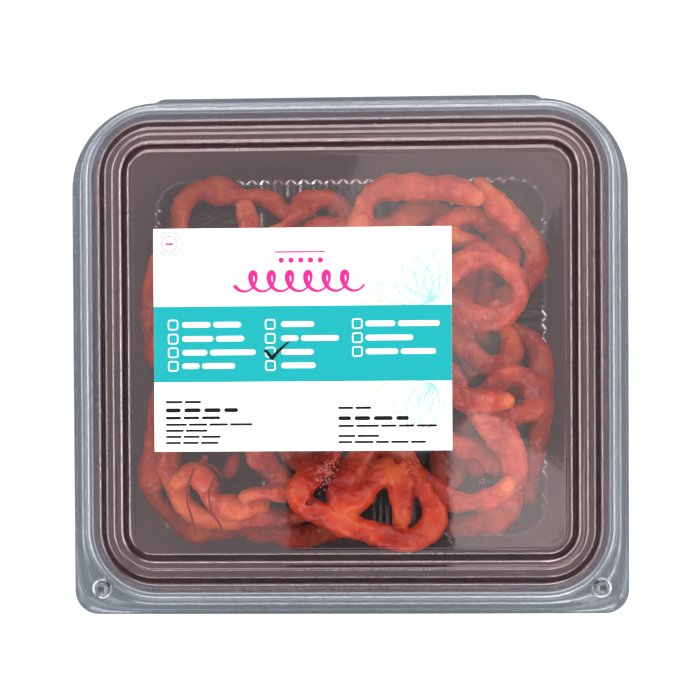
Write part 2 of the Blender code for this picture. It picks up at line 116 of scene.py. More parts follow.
def wavy(points: np.ndarray, wavelength: float, seed: int, waves: int = 24) -> np.ndarray:
    """Smooth unevenness of space: the mean of sines along random directions, near -1 to 1.

    Args:
        points: Places, with x, y and z in the last axis.
        wavelength: Typical distance between two crests.
        seed: Which unevenness of the kind it is.
        waves: How many sines are summed.

    Returns:
        One number for each place.
    """
    chance = np.random.default_rng(seed)
    ways = unit_rows(chance.normal(size=(waves, 3)))
    ways *= (2 * math.pi / wavelength) * chance.uniform(0.6, 1.6, (waves, 1))
    starts = chance.uniform(0, 2 * math.pi, waves)
    return np.sin(points @ ways.T + starts).sum(axis=-1) * math.sqrt(2 / waves) / 1.5


def new_object(name: str, data: bpy.types.ID) -> bpy.types.Object:
    """Put an object with that mesh, light or camera into the scene."""
    thing = bpy.data.objects.new(name, data)
    bpy.context.scene.collection.objects.link(thing)
    return thing


def read_points(mesh: bpy.types.Mesh, what: str) -> np.ndarray:
    """The places (co) or the normals (normal) of a mesh's points, as rows of x, y and z."""
    values = np.empty(len(mesh.vertices) * 3)
    mesh.vertices.foreach_get(what, values)
    return values.reshape(-1, 3)


class PieceBuilder:
    """Collects closed shapes, worked out as whole arrays, and makes one mesh object of them."""

    def __init__(self, name: str) -> None:
        """Start a piece of that name."""
        self.name = name
        self.points: list[np.ndarray] = []
        self.faces: list[list[int]] = []
        self.count = 0

    def _put(self, points: np.ndarray) -> int:
        """Add points, given as rows of x, y and z, and return the number of the first one."""
        first = self.count
        self.points.append(points.reshape(-1, 3))
        self.count += len(self.points[-1])
        return first

    def add_rings(self, rings: np.ndarray, cap_first: bool = True) -> None:
        """A skin through closed rings: ring k is joined to ring k + 1, point by point.

        Args:
            rings: Points as (ring, place on the ring, xyz). Faces point out where the rings turn
                anticlockwise about the way from the first ring to the last.
            cap_first: Close the first ring with a fan to its middle, as the last one always is.
        """
        count, around = rings.shape[:2]
        first = self._put(rings)
        index = first + np.arange(count * around).reshape(count, around)
        onward = np.roll(index, -1, axis=1)
        quads = np.stack((index[:-1], onward[:-1], onward[1:], index[1:]), axis=-1)
        self.faces += quads.reshape(-1, 4).tolist()
        caps = ((rings[0], onward[0], index[0]), (rings[-1], index[-1], onward[-1]))
        for ring, one, two in caps if cap_first else caps[1:]:
            middle = self._put(ring.mean(axis=0))
            self.faces += np.stack((one, two, np.full(around, middle)), axis=-1).tolist()

    def add_prism(self, outline: np.ndarray, low: float, high: float) -> None:
        """A flat plate between two heights with an anticlockwise outline of x and y."""
        count = len(outline)
        floor = np.column_stack((outline, np.full(count, low)))
        roof = np.column_stack((outline, np.full(count, high)))
        first = self._put(np.concatenate((floor, roof)))
        here = first + np.arange(count)
        then = np.roll(here, -1)
        self.faces += np.stack((here, then, then + count, here + count), axis=-1).tolist()
        self.faces.append(here[::-1].tolist())
        self.faces.append((here + count).tolist())

    def build(self, material: bpy.types.Material, smooth: bool = True) -> bpy.types.Object:
        """Make the object.

        Args:
            material: The finish of the whole piece.
            smooth: Shade its faces smooth.

        Returns:
            The object, at the origin, with its place in its mesh.
        """
        mesh = bpy.data.meshes.new(self.name)
        mesh.from_pydata(np.concatenate(self.points), [], self.faces)
        mesh.materials.append(material)
        mesh.polygons.foreach_set("use_smooth", [smooth] * len(mesh.polygons))
        mesh.update()
        return new_object(self.name, mesh)


def put_mark(thing: bpy.types.Object, name: str, values: np.ndarray) -> None:
    """Keep one number for each point of a piece, for its finish to read."""
    mark = thing.data.attributes.new(name, "FLOAT", "POINT")
    mark.data.foreach_set("value", np.asarray(values, dtype=np.float32))


def settle_in(thing: bpy.types.Object, body: str, slot: str, *stands_for: str) -> None:
    """Let a piece move with a body, and hide the CAD nodes it stands for."""
    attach(thing, body)
    if stands_for:
        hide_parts(*stands_for)
    LOG.info("%s rides on %s, %d faces", thing.name, body, len(thing.data.polygons))


# ---- Finishes -------------------------------------------------------------------------------
class NodeBoard:
    """The node tree of one new material, with short calls to add and join nodes."""

    def __init__(self, name: str) -> None:
        """Make the material and empty its node tree."""
        self.material = bpy.data.materials.new(name)
        self.material.use_nodes = True
        self.tree = self.material.node_tree
        self.tree.nodes.clear()

    def add(self, kind: str, settings: dict | None = None, **sockets) -> bpy.types.Node:
        """Add a node.

        Args:
            kind: The node's class without its ShaderNode prefix.
            settings: Properties of the node itself.
            **sockets: Inputs by name, with _ for a space: a value, or the output that feeds it.

        Returns:
            The node.
        """
        node = self.tree.nodes.new("ShaderNode" + kind)
        for key, value in (settings or {}).items():
            setattr(node, key, value)
        for key, value in sockets.items():
            name = int(key[1:]) if key[1:].isdigit() else key.replace("_", " ")
            if isinstance(value, bpy.types.NodeSocket):
                self.tree.links.new(value, node.inputs[name])
            else:
                node.inputs[name].default_value = value
        return node

    def ramp(self, factor: bpy.types.NodeSocket, *stops: tuple[float, tuple]) -> bpy.types.NodeSocket:
        """A colour ramp through stops of (place, colour), and its colour output."""
        node = self.add("ValToRGB", Fac=factor)
        elements = node.color_ramp.elements
        while len(elements) < len(stops):
            elements.new(1.0)
        for element, (place, colour) in zip(elements, stops):
            element.position = place
            element.color = (*colour, 1.0)
        return node.outputs["Color"]

    def math(self, operation: str, *values, clamp: bool = False) -> bpy.types.NodeSocket:
        """A Math node on numbers or outputs, and its own output."""
        places = {f"_{place}": value for place, value in enumerate(values)}
        return self.add("Math", {"operation": operation, "use_clamp": clamp}, **places).outputs[0]

    def noise(self, scale: float, detail: float, roughness: float = 0.5) -> bpy.types.NodeSocket:
        """Noise over Object coordinates, from 0 to 1."""
        place = self.add("TexCoord").outputs["Object"]
        return self.add("TexNoise", Vector=place, Scale=scale, Detail=detail,
                        Roughness=roughness).outputs[0]

    def mark(self, name: str) -> bpy.types.NodeSocket:
        """The number that a piece keeps for each of its points under a name."""
        return self.add("Attribute", {"attribute_name": name}).outputs["Fac"]

    def mix(self, factor: bpy.types.NodeSocket, one, two) -> bpy.types.NodeSocket:
        """A colour between two colours or outputs."""
        return self.add("Mix", {"data_type": "RGBA"}, Factor=factor, _6=one, _7=two).outputs[2]

    def finish(self, shader: bpy.types.Node) -> bpy.types.Material:
        """Join the last shader to the output and return the material."""
        self.add("OutputMaterial", Surface=shader.outputs[0])
        return self.material


@dataclass(frozen=True)
class ClearSheet:
    """Clear formed plastic: light goes straight through, tinted, and some is mirrored.

    Attributes:
        name: The material's name.
        tint: The share of light that passes one sheet seen square on.
        wall_shade_tint: The share that passes a formed wall seen edge on: a painted shade, darker and
            redder than the tint, in place of the dark heap that the walls mirror.
        rim_tint: The share that passes the rim, outside the bead's inner foot.
        roughness: Roughness of its gloss, inside and on the rim.
        ripple: Height of the slow unevenness in its gloss.
        mirrored: Share of light that one surface mirrors square on.
        glint: Share that the sharpest folds mirror besides.
        painted_warm_reflection: Colour of the gloss inside the rim, faintly warm: a painted reflection
            of the sweets below.
    """

    name: str
    tint: Colour
    # Painted shade: the tint at walls seen edge on.
    wall_shade_tint: Colour
    rim_tint: Colour
    roughness: tuple[float, float]
    ripple: float
    mirrored: float
    glint: float = 0.5
    # Painted reflection: the gloss inside the rim is tinted warm, as if it mirrored the sweets.
    painted_warm_reflection: Colour = (1.0, 0.84, 0.83)

    def material(self) -> bpy.types.Material:
        """Mix Transparent and Glossy by Schlick's rule: m + (1 - m) * facing ^ 5.

        A ray meets two surfaces in each sheet, so each takes the square root of the tint. Where formed
        walls and folds are seen edge on, a painted shade darkens and reddens their tint, in place of
        the dark heap that they mirror and the light that they turn aside. Inside the rim the gloss is
        tinted warm, a painted reflection of the sweets. The sharpest folds are a little rough and throw
        light back.
        """
        board = NodeBoard(self.name)
        height = board.math("MULTIPLY_ADD", board.noise(420.0, 2.0), 0.12, board.noise(55.0, 1.0))
        bump = board.add("Bump", Height=height, Distance=self.ripple, Strength=1.0)
        facing = board.add("LayerWeight", Blend=0.5).outputs["Facing"]
        mirror = board.math("MULTIPLY_ADD", board.math("POWER", facing, 5.0), 1 - self.mirrored,
                            self.mirrored)
        slant = board.add("MapRange", {"interpolation_type": "SMOOTHSTEP"}, Value=facing,
                          From_Min=0.02, From_Max=0.14)
        # Painted shade: the share of wall shade where marked walls are seen edge on.
        edge = board.math("MULTIPLY", slant.outputs[0], board.mark(WALL_SHADE_MARK))
        calm = board.math("MULTIPLY_ADD", edge, -0.85, 1.0)
        mirror = board.math("MULTIPLY_ADD", board.mark(GLINT_MARK), self.glint,
                            board.math("MULTIPLY", mirror, calm), clamp=True)
        tint, wall_shade_tint, rim_tint = (tuple(math.sqrt(c) for c in share)
                                     for share in (self.tint, self.wall_shade_tint, self.rim_tint))
        # Painted shade: the tint runs dark towards the wall shade tint.
        inside = board.ramp(edge, (0.0, tint), (1.0, wall_shade_tint))
        rim = board.mark(RIM_MARK)
        clear = board.add("BsdfTransparent", Color=board.mix(rim, inside, (*rim_tint, 1.0)))
        rough = board.add("MapRange", Value=rim, To_Min=self.roughness[0], To_Max=self.roughness[1])
        # Painted reflection: warm gloss inside the rim, white gloss on it.
        gloss = board.add("BsdfGlossy", Color=board.mix(rim, (*self.painted_warm_reflection, 1.0), (1.0, 1.0, 1.0, 1.0)),
                          Roughness=rough.outputs[0], Normal=bump.outputs[0])
        return board.finish(board.add("MixShader", Fac=mirror, _1=clear.outputs[0],
                                      _2=gloss.outputs[0]))


@dataclass(frozen=True)
class SyrupyBatter:
    """Fried batter full of syrup: red-orange and translucent, paler where it is drier.

    Attributes:
        name: The material's name.
        deep: Its colour in the darkest mottles.
        common: Its colour over most of the strand.
        pale: Its colour in the palest mottles.
        dry: Its colour at a strand's dry ends.
        roughness: Roughness of its skin, on the middle of a mottle.
        glow: How much of the light passes under its skin.
    """

    name: str
    deep: Colour
    common: Colour
    pale: Colour
    dry: Colour
    roughness: float
    glow: float

    def material(self) -> bpy.types.Material:
        """Principled with light under its skin; tips are paler, and noise mottles the colour."""
        board = NodeBoard(self.name)
        mottle = board.noise(62.0, 4.0, 0.62)
        colour = board.ramp(mottle, (0.36, self.deep), (0.5, self.common), (0.7, self.pale))
        dry = board.math("MULTIPLY", board.mark(TIP_MARK), mottle)
        dry = board.math("MULTIPLY", dry, 1.3, clamp=True)
        bump = board.add("Bump", Height=board.noise(430.0, 5.0, 0.6), Distance=0.32 * MM, Strength=0.8)
        rough = board.add("MapRange", Value=mottle, From_Min=0.3, From_Max=0.7,
                          To_Min=self.roughness - 0.06, To_Max=self.roughness + 0.14)
        return board.finish(board.add(
            "BsdfPrincipled", Base_Color=board.mix(dry, colour, (*self.dry, 1.0)),
            Roughness=rough.outputs[0], Normal=bump.outputs[0], Subsurface_Weight=self.glow,
            Subsurface_Radius=(1.0, 0.28, 0.12), Subsurface_Scale=2.2 * MM, IOR=1.46,
            Specular_IOR_Level=0.4, Coat_Weight=0.2, Coat_Roughness=0.12))


@dataclass(frozen=True)
class PlainFinish:
    """A plain finish: smooth label paper, a flat ink on it, or syrup.

    Attributes:
        name: The material's name.
        colour: Its colour.
        roughness: Roughness of its surface.
        gloss: How strongly it mirrors.
    """

    name: str
    colour: Colour
    roughness: float
    gloss: float = 0.12

    def material(self) -> bpy.types.Material:
        """Principled with a very faint grain in colour and height."""
        board = NodeBoard(self.name)
        fibre = board.noise(1800.0, 2.0)
        shade = tuple(c * 0.97 for c in self.colour)
        colour = board.ramp(fibre, (0.35, shade), (0.65, self.colour))
        bump = board.add("Bump", Height=fibre, Distance=0.01 * MM, Strength=0.5)
        return board.finish(board.add(
            "BsdfPrincipled", Base_Color=colour, Roughness=self.roughness, Normal=bump.outputs[0],
            Specular_IOR_Level=self.gloss))


class Ink(Enum):
    """The label's flat inks."""

    TEAL = (0.004, 0.255, 0.27)
    PINK = (0.62, 0.010, 0.17)
    BLACK = (0.003, 0.003, 0.003)
    WHITE = (0.88, 0.88, 0.88)
    PALE_TEAL = (0.22, 0.42, 0.44)
    PEACH = (0.60, 0.36, 0.25)
    SEAL_GREEN = (0.24, 0.34, 0.30)


# ---- The formed sheets ----------------------------------------------------------------------
@dataclass(frozen=True)
class RimPlan:
    """The plan that tray and lid share, from the outer foot of the rim's bead inwards.

    Every outline has side zones, at the middle of its sides, and corner zones between them,
    each with a fixed number of points, so that all outlines match point for point.
    """

    side_flange: float = 3.7 * MM
    front_flange: float = 4.35 * MM
    back_flange: float = 1.1 * MM
    hinge_strip: float = 2.3 * MM
    strip_end: float = 1.2 * MM
    tab_corner: float = 8.0 * MM
    back_corner: float = 29.0 * MM
    bead_corner: float = 24.5 * MM
    bead_width: float = 4.8 * MM
    bead_height: float = 3.6 * MM
    side_zone: tuple[float, float] = (40.0 * MM, 34.0 * MM)
    snap_at: tuple[float, float] = (83.6 * MM, 78.9 * MM)
    sheet: float = 0.5 * MM
    gap: float = 0.35 * MM

    @property
    def bead_half(self) -> tuple[float, float]:
        """Half length and half depth over the bead's outer foot, from the tray's box."""
        low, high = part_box("tray")
        return ((high.x - low.x) / 2 - self.side_flange,
                (high.y - low.y - self.front_flange - self.hinge_strip) / 2)

    @property
    def middle_y(self) -> float:
        """Where the middle of the rim lies on Y."""
        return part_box("tray")[0].y + self.front_flange + self.bead_half[1]

    def corner_path(self, half: tuple[float, float], radius: float, zone: tuple[float, float],
                    steps: int) -> np.ndarray:
        """The back right corner zone: up the side, round the corner and along the back.

        With s running evenly along the whole path: x = half_x - r + r cos a - s3 and
        y = zone_y + s1 + r sin a, where s1, a and s3 are the parts of s on each stretch.

        Args:
            half: Half length and half depth of the outline.
            radius: The corner's radius.
            zone: Where the side zones end on X and Y.
            steps: The number of points; the far end is left to the next zone.

        Returns:
            Points of x and y.
        """
        up = half[1] - radius - zone[1]
        along = half[0] - radius - zone[0]
        arc = radius * math.pi / 2
        travelled = np.arange(steps) / steps * (up + arc + along)
        angle = np.clip((travelled - up) / max(radius, 1e-9), 0, math.pi / 2)
        last = np.clip(travelled - up - arc, 0, None)
        x = half[0] - radius + radius * np.cos(angle) - last
        y = zone[1] + np.clip(travelled, 0, up) + radius * np.sin(angle)
        return np.column_stack((x, y))

    def outline(self, half: tuple[float, float], back: float, front: float,
                steps: tuple[int, int, int]) -> np.ndarray:
        """A whole outline, anticlockwise from the back end of the right side's zone.

        Args:
            half: Half length and half depth.
            back: Radius of the two back corners.
            front: Radius of the two front corners.
            steps: Points in a corner zone, a long side zone and a short side zone.

        Returns:
            Points of x and y about the middle of the rim.
        """
        corner, long_side, short_side = steps
        zone_x, zone_y = self.side_zone
        back_path = self.corner_path(half, back, self.side_zone, corner)
        front_path = self.corner_path(half, front, self.side_zone, corner)
        far_end = np.array([[zone_x, half[1]]])
        back_left = np.concatenate((back_path, far_end))[:0:-1] * (-1, 1)
        front_left = front_path * (-1, -1)
        front_right = np.concatenate((front_path, far_end))[:0:-1] * (1, -1)
        share_x = np.arange(long_side) / long_side
        share_y = np.arange(short_side) / short_side
        back_side = np.column_stack((zone_x - 2 * zone_x * share_x, np.full(long_side, half[1])))
        left_side = np.column_stack((np.full(short_side, -half[0]), zone_y - 2 * zone_y * share_y))
        front_side = np.column_stack((-zone_x + 2 * zone_x * share_x, np.full(long_side, -half[1])))
        right_side = np.column_stack((np.full(short_side, half[0]), -zone_y + 2 * zone_y * share_y))
        return np.concatenate((back_path, back_side, back_left, left_side, front_left, front_side,
                               front_right, right_side))

    def flange_edge(self, steps: tuple[int, int, int]) -> np.ndarray:
        """Outer edge of a flange: small front corners, wide back ones and the hinge strip.

        The strip is the back edge pushed out by a ramp of x: it rises over strip_end.
        """
        half_x, half_y = self.bead_half
        front = half_y + self.front_flange
        back = half_y + self.back_flange
        outer_x = half_x + self.side_flange
        edge = self.outline((outer_x, (front + back) / 2), self.back_corner, self.tab_corner, steps)
        edge[:, 1] += (back - front) / 2
        strip_half = outer_x - self.back_corner
        ramp = np.clip((strip_half - np.abs(edge[:, 0])) / self.strip_end, 0, 1)
        edge[:, 1] += np.where(edge[:, 1] > 0, ramp * (self.hinge_strip - self.back_flange), 0)
        return edge

    def inset_outline(self, inset: float, corner: float, steps: tuple[int, int, int]) -> np.ndarray:
        """The bead's foot moved in by a distance, with a corner radius of its own."""
        half_x, half_y = self.bead_half
        return self.outline((half_x - inset, half_y - inset), corner, corner, steps)

    def bead_section(self, nest: float, top: float, foot: float, steps: int) -> np.ndarray:
        """The bead from its outer to its inner foot: |u| ^ 2.1 + |v| ^ 2.1 = 1, a round arch.

        Args:
            nest: How much the bead is narrowed on each side to lie inside another.
            top: Its height over its feet.
            foot: The height of its feet.
            steps: The number of stretches.

        Returns:
            Points of (inset, z).
        """
        angle = np.linspace(math.pi, 0, steps + 1)
        across, rise = np.cos(angle), np.sin(angle)
        across = np.sign(across) * np.abs(across) ** 0.95
        reach = self.bead_width / 2 - nest
        return np.column_stack((self.bead_width / 2 + reach * across,
                                foot + top * np.clip(rise, 0, None) ** 0.95))

    def folds(self, corners: np.ndarray, rounding: float, steps: int = 4) -> np.ndarray:
        """Round every inner corner of a section with a curve of its two edges.

        Each corner C with edge points A and B at the rounding distance becomes
        (1 - t)^2 A + 2 t (1 - t) C + t^2 B.

        Args:
            corners: Points of (inset, z), with sharp corners.
            rounding: The distance from a corner at which its curve starts.
            steps: Stretches in each curve.

        Returns:
            The section with its rounded corners.
        """
        inner = corners[1:-1]
        ends = []
        for way in (corners[:-2] - inner, corners[2:] - inner):
            reach = np.minimum(rounding, 0.45 * np.linalg.norm(way, axis=1, keepdims=True))
            ends.append(inner + unit_rows(way) * reach)
        start, end = ends
        t = np.linspace(0, 1, steps + 1)[None, :, None]
        curve = (1 - t) ** 2 * start[:, None] + 2 * t * (1 - t) * inner[:, None] + t ** 2 * end[:, None]
        return np.concatenate((corners[:1], curve.reshape(-1, 2), corners[-1:]))

    def place(self, outline: np.ndarray, height: np.ndarray | float) -> np.ndarray:
        """An outline about the rim's middle as points in the frame."""
        heights = np.broadcast_to(height, len(outline))
        return np.column_stack((outline[:, 0], outline[:, 1] + self.middle_y, heights))

    def rows(self, section: np.ndarray, radius: np.ndarray, steps: tuple[int, int, int],
             flange_z: float) -> np.ndarray:
        """A flange's edge, and then an outline for each point of a section.

        Args:
            section: Points of (inset, z).
            radius: The corner radius at each of them.
            steps: Points in a corner zone, a long side zone and a short side zone.
            flange_z: The flange's height.

        Returns:
            Rows of points in the frame.
        """
        outlines = [self.place(self.inset_outline(inset, r, steps), z)
                    for (inset, z), r in zip(section, radius)]
        return np.array([self.place(self.flange_edge(steps), flange_z), *outlines])

    def thicken(self, thing: bpy.types.Object, rim_points: int, wall_shading: float) -> None:
        """Mark the rim and the painted wall shade of a single skin's bent parts, and give it its
        thickness downwards.

        A part is bent as far as the skin's normal leans from upright: 1 - |n_z|, drawn out to 0 to 1,
        and its tint gets a painted shade of that strength times wall_shading. The rim, with its flange
        and bead, has a mark of its own instead.

        Args:
            thing: The skin, with the rim's points first.
            rim_points: How many of its points are in the rim.
            wall_shading: How strongly painted shade darkens its walls, from 0 to 1.
        """
        mesh = thing.data
        rim = np.arange(len(mesh.vertices)) < rim_points
        upright = np.abs(read_points(mesh, "normal")[:, 2])
        # Painted shade: the more a wall leans, the darker its tint is painted.
        wall_shade = smooth_rise(1 - upright, 0.02, 0.3) * wall_shading * ~rim
        put_mark(thing, WALL_SHADE_MARK, wall_shade)
        put_mark(thing, RIM_MARK, rim)
        wall = thing.modifiers.new("sheet", "SOLIDIFY")
        wall.thickness = self.sheet
        wall.offset = -1.0


PLAN = RimPlan()


@dataclass(frozen=True)
class Tray:
    """The lower half of the box: a bead and flange, a drafted wall with a ledge, a ribbed floor."""

    flange_z: float = 37.7 * MM
    ledge_inset: float = 14.0 * MM
    ledge_z: float = 11.5 * MM
    ledge_step: float = 1.5 * MM
    foot_inset: float = 18.7 * MM
    foot_z: float = 1.45 * MM
    foot_slope: float = 0.68
    floor_corner: float = 12.0 * MM
    foot_rows: tuple[float, ...] = (-0.014, 0.0, 0.014, 0.028)
    crest_z: float = 1.35 * MM
    groove_z: float = 0.5 * MM
    rib_points: int = 6
    bead_steps: int = 12
    # How strongly painted shade darkens the formed walls.
    wall_shading: float = 0.8
    ribs: tuple[int, int, int] = (12, 17, 14)
    rib_length: float = 29.3 * MM
    rib_rows: int = 34
    arc_pitch: float = 4.7 * MM
    stud_radius: float = 1.65 * MM
    stud_height: float = 1.5 * MM
    # Tints square on, at walls seen edge on (a painted shade) and on the rim.
    finish: ClearSheet = ClearSheet("tray_clear_plastic", (0.16, 0.135, 0.15), (0.05, 0.025, 0.03),
                                    (0.13, 0.145, 0.17), (0.06, 0.2), 0.05 * MM, 0.03)

    @property
    def steps(self) -> tuple[int, int, int]:
        """Points in a corner zone, a long side zone and a short side zone."""
        return tuple(count * self.rib_points for count in self.ribs)

    def upper_rows(self) -> np.ndarray:
        """Rows from the flange's edge over the bead and down the wall to the foot."""
        nest = PLAN.sheet + PLAN.gap
        bead = PLAN.bead_section(nest, PLAN.bead_height - PLAN.gap, self.flange_z, self.bead_steps)
        drop = np.array((
            (PLAN.bead_width - nest, self.flange_z),
            (PLAN.bead_width + 0.1 * MM, self.flange_z - 1.6 * MM),
            (self.ledge_inset, self.ledge_z + 0.3 * MM),
            (self.ledge_inset + self.ledge_step, self.ledge_z - 1.0 * MM),
            (self.foot_inset, self.foot_z)))
        wall = PLAN.folds(drop, 1.0 * MM)
        section = np.concatenate((bead[:-1], wall[1:]))
        deep = PLAN.bead_corner - self.foot_inset
        share = np.clip((section[:, 0] - PLAN.bead_width) / (self.foot_inset - PLAN.bead_width), 0, 1)
        radius = PLAN.bead_corner - section[:, 0] + share * (self.floor_corner - deep)
        return PLAN.rows(section, radius, self.steps, self.flange_z)

    def floor_rows(self) -> np.ndarray:
        """Rows of the floor, from the scalloped foot of the wall inwards.

        Along the sides the ribs run square to the wall, as crest = cos(2 pi n) of the rib count n
        round the foot. In each corner zone they run as arcs about the zone's inner corner. The
        wall's foot slopes, so where it meets a crest and where it meets a groove differ, which
        makes the zigzag line round the floor.
        """
        outer = PLAN.inset_outline(self.foot_inset, self.floor_corner, self.steps)
        count = len(outer)
        beat = np.cos(2 * math.pi * np.arange(count) / self.rib_points)
        lift = (self.crest_z - self.groove_z) / 2
        zone = np.clip(outer, -np.array(PLAN.side_zone), np.array(PLAN.side_zone))
        inward = zone - outer
        reach = np.linalg.norm(inward, axis=1).min()
        in_corner = (np.abs(outer) > np.array(PLAN.side_zone) - 1e-9).all(axis=1)
        rib_z = self.groove_z + lift * (1 + beat)
        foot = (self.foot_z - rib_z) / self.foot_slope
        travelled = np.concatenate((self.foot_rows, np.linspace(0.06, 0.965, self.rib_rows)))
        rows = []
        for share in travelled:
            start = foot / reach
            part = start + share * (1 - start)
            plan = outer + inward * part[:, None]
            depth = part * reach
            ray = plan - zone
            arc = np.cos(2 * math.pi * np.linalg.norm(ray, axis=1) / self.arc_pitch)
            corner_share = np.where(in_corner, smooth_rise(depth, 4 * MM, 7 * MM), 0.0)
            spread = np.abs(ray).min(axis=1) / np.maximum(np.abs(ray).max(axis=1), 1e-9)
            arc_strength = smooth_rise(spread, 0.02, 0.3)
            wave = (1 - corner_share) * beat + corner_share * (arc_strength * (1 + arc) - 1)
            fade = 1 - smooth_rise(depth, self.rib_length - 4 * MM, self.rib_length - 1 * MM)
            rows.append(PLAN.place(plan, self.groove_z + lift * (1 + wave) * fade))
        return np.array(rows)

    def build(self) -> None:
        """Make the tray and its two snap studs."""
        material = self.finish.material()
        piece = PieceBuilder("clear_tray")
        upper = self.upper_rows()
        rows = np.concatenate((upper, self.floor_rows()))
        piece.add_rings(rows, cap_first=False)
        tray = piece.build(material)
        sharp = np.zeros((len(rows), rows.shape[1]))
        foot = len(upper) + 1
        sharp[foot:foot + 2] = smooth_rise(wavy(rows[foot], 14 * MM, 31), -0.7, 0.3)
        put_mark(tray, GLINT_MARK, np.append(sharp.ravel(), 0))
        PLAN.thicken(tray, (self.bead_steps + 1) * rows.shape[1], self.wall_shading)
        settle_in(tray, "tray", "tray_plastic", "tray")
        domes = [snap_dome(side, self.stud_radius, self.stud_height, self.flange_z)
                 for side in (-1, 1)]
        add_domes("tray_studs", domes, material, "tray", "tray_plastic")


DOME_SIDES = 48


def snap_dome(side: int, radius: float, height: float, base: float) -> np.ndarray:
    """Rings of a snap button: a brim, a concave foot, a steep side and a dished top.

    Args:
        side: Which front corner it is in: -1 for the left one, 1 for the right one.
        radius: Radius of its steep side.
        height: Height of its top edge over the base.
        base: Height of the sheet that it rises from.

    Returns:
        Rings from the brim's underside to the middle of the top.
    """
    section = np.array(((1.55, 0.01), (1.5, 0.03), (1.25, 0.06), (1.1, 0.2), (1.03, 0.6), (0.95, 0.9),
                        (0.82, 1.0), (0.66, 0.96), (0.4, 0.84), (0.12, 0.8)))
    place = np.array((side * PLAN.snap_at[0], PLAN.middle_y - PLAN.snap_at[1]))
    angle = np.linspace(0, 2 * math.pi, DOME_SIDES, endpoint=False)
    rings = np.empty((len(section), len(angle), 3))
    rings[..., :2] = place + section[:, None, :1] * radius * circle(angle)[None]
    rings[..., 2] = base + section[:, None, 1] * height
    return rings


def add_domes(name: str, domes: list[np.ndarray], material: bpy.types.Material, body: str,
              slot: str) -> None:
    """Make a piece of snap buttons, marked as part of the rim, with a bright foot and top edge.

    The points of each button follow its rings, then its two middles: the glint is strongest on
    the rings at the foot of the steep side.

    Args:
        name: The piece's name.
        domes: Each button's rings.
        material: Their finish.
        body: The body that they ride on.
        slot: Their material slot; it is not used.
    """
    piece = PieceBuilder(name)
    for rings in domes:
        piece.add_rings(rings)
    thing = piece.build(material)
    along = np.array((0, 0.03, 0.15, 0.25, 0.12, 0.03, 0.14, 0.05, 0, 0))
    button = np.append(np.repeat(along, DOME_SIDES), (0, 0))
    count = len(thing.data.vertices)
    put_mark(thing, GLINT_MARK, np.resize(button, count))
    put_mark(thing, RIM_MARK, np.ones(count))
    settle_in(thing, body, slot)


@dataclass(frozen=True)
class Lid:
    """The upper half: a bead that nests on the tray's, a stepped dome and a raised top panel."""

    flange_z: float = 38.55 * MM
    shelf_inset: float = 8.4 * MM
    shelf_end: float = 14.0 * MM
    shelf_z: float = 46.6 * MM
    panel_inset: float = 16.8 * MM
    panel_z: float = 49.6 * MM
    fold: float = 0.9 * MM
    mould_line: float = 0.14 * MM
    button_radius: float = 2.35 * MM
    button_height: float = 2.0 * MM
    steps: tuple[int, int, int] = (44, 34, 30)
    bead_steps: int = 14
    # How strongly painted shade darkens the formed walls.
    wall_shading: float = 1.0
    # Tints square on, at walls seen edge on (a painted dark red shade) and on the rim.
    finish: ClearSheet = ClearSheet("lid_clear_plastic", (0.88, 0.87, 0.89), (0.26, 0.15, 0.17),
                                    (0.82, 0.84, 0.88), (0.05, 0.2), 0.08 * MM, 0.1)

    def section(self) -> np.ndarray:
        """The lid from its bead inwards, with shallow mould lines along the shelf."""
        bead = PLAN.bead_section(0.0, PLAN.bead_height, self.flange_z, self.bead_steps)
        line, shelf, shelf_z = self.mould_line, self.shelf_inset, self.shelf_z
        panel, panel_z = self.panel_inset, self.panel_z
        corners = np.array((
            (PLAN.bead_width, self.flange_z + 0.2 * MM),
            (shelf - 1.0 * MM, shelf_z - 2.0 * MM),
            (shelf - 0.55 * MM, shelf_z - 1.75 * MM),
            (shelf, shelf_z),
            (shelf + 2.6 * MM, shelf_z), (shelf + 2.9 * MM, shelf_z + line),
            (shelf + 3.3 * MM, shelf_z + line), (shelf + 3.6 * MM, shelf_z),
            (self.shelf_end, shelf_z), (panel - 0.8 * MM, panel_z - 0.7 * MM),
            (panel, panel_z - 0.05 * MM), (panel + 1.6 * MM, panel_z),
            (panel + 2.0 * MM, panel_z - 0.5 * line),
            (panel + 6.0 * MM, panel_z - 0.5 * line)))
        return np.concatenate((bead[:-1], PLAN.folds(corners, self.fold)[1:]))

    def build(self) -> None:
        """Make the lid and its two snap buttons."""
        section = self.section()
        radius = np.maximum(PLAN.bead_corner - section[:, 0], 5 * MM)
        rows = PLAN.rows(section, radius, self.steps, self.flange_z)
        last, middle = rows[-1], rows[-1].mean(axis=0)
        inner = [last + (middle - last) * share for share in (0.12, 0.3, 0.55, 0.8)]
        material = self.finish.material()
        piece = PieceBuilder("clear_lid")
        piece.add_rings(np.concatenate((rows, inner)), cap_first=False)
        lid = piece.build(material)
        PLAN.thicken(lid, (self.bead_steps + 1) * rows.shape[1], self.wall_shading)
        settle_in(lid, "lid", "lid_plastic", "lid")
        domes = [snap_dome(side, self.button_radius, self.button_height, self.flange_z)
                 for side in (-1, 1)]
        add_domes("snap_buttons", domes, material, "lid", "lid_plastic")


# ---- The jalebi -----------------------------------------------------------------------------
@dataclass(frozen=True)
class Strand:
    """One strand of batter as it was piped: the places that it passes, and its thickness.

    Places are (x, y) in mm from the middle of the rim, and the strand runs smoothly through them.
    """

    places: tuple[tuple[float, float], ...]
    radius: float


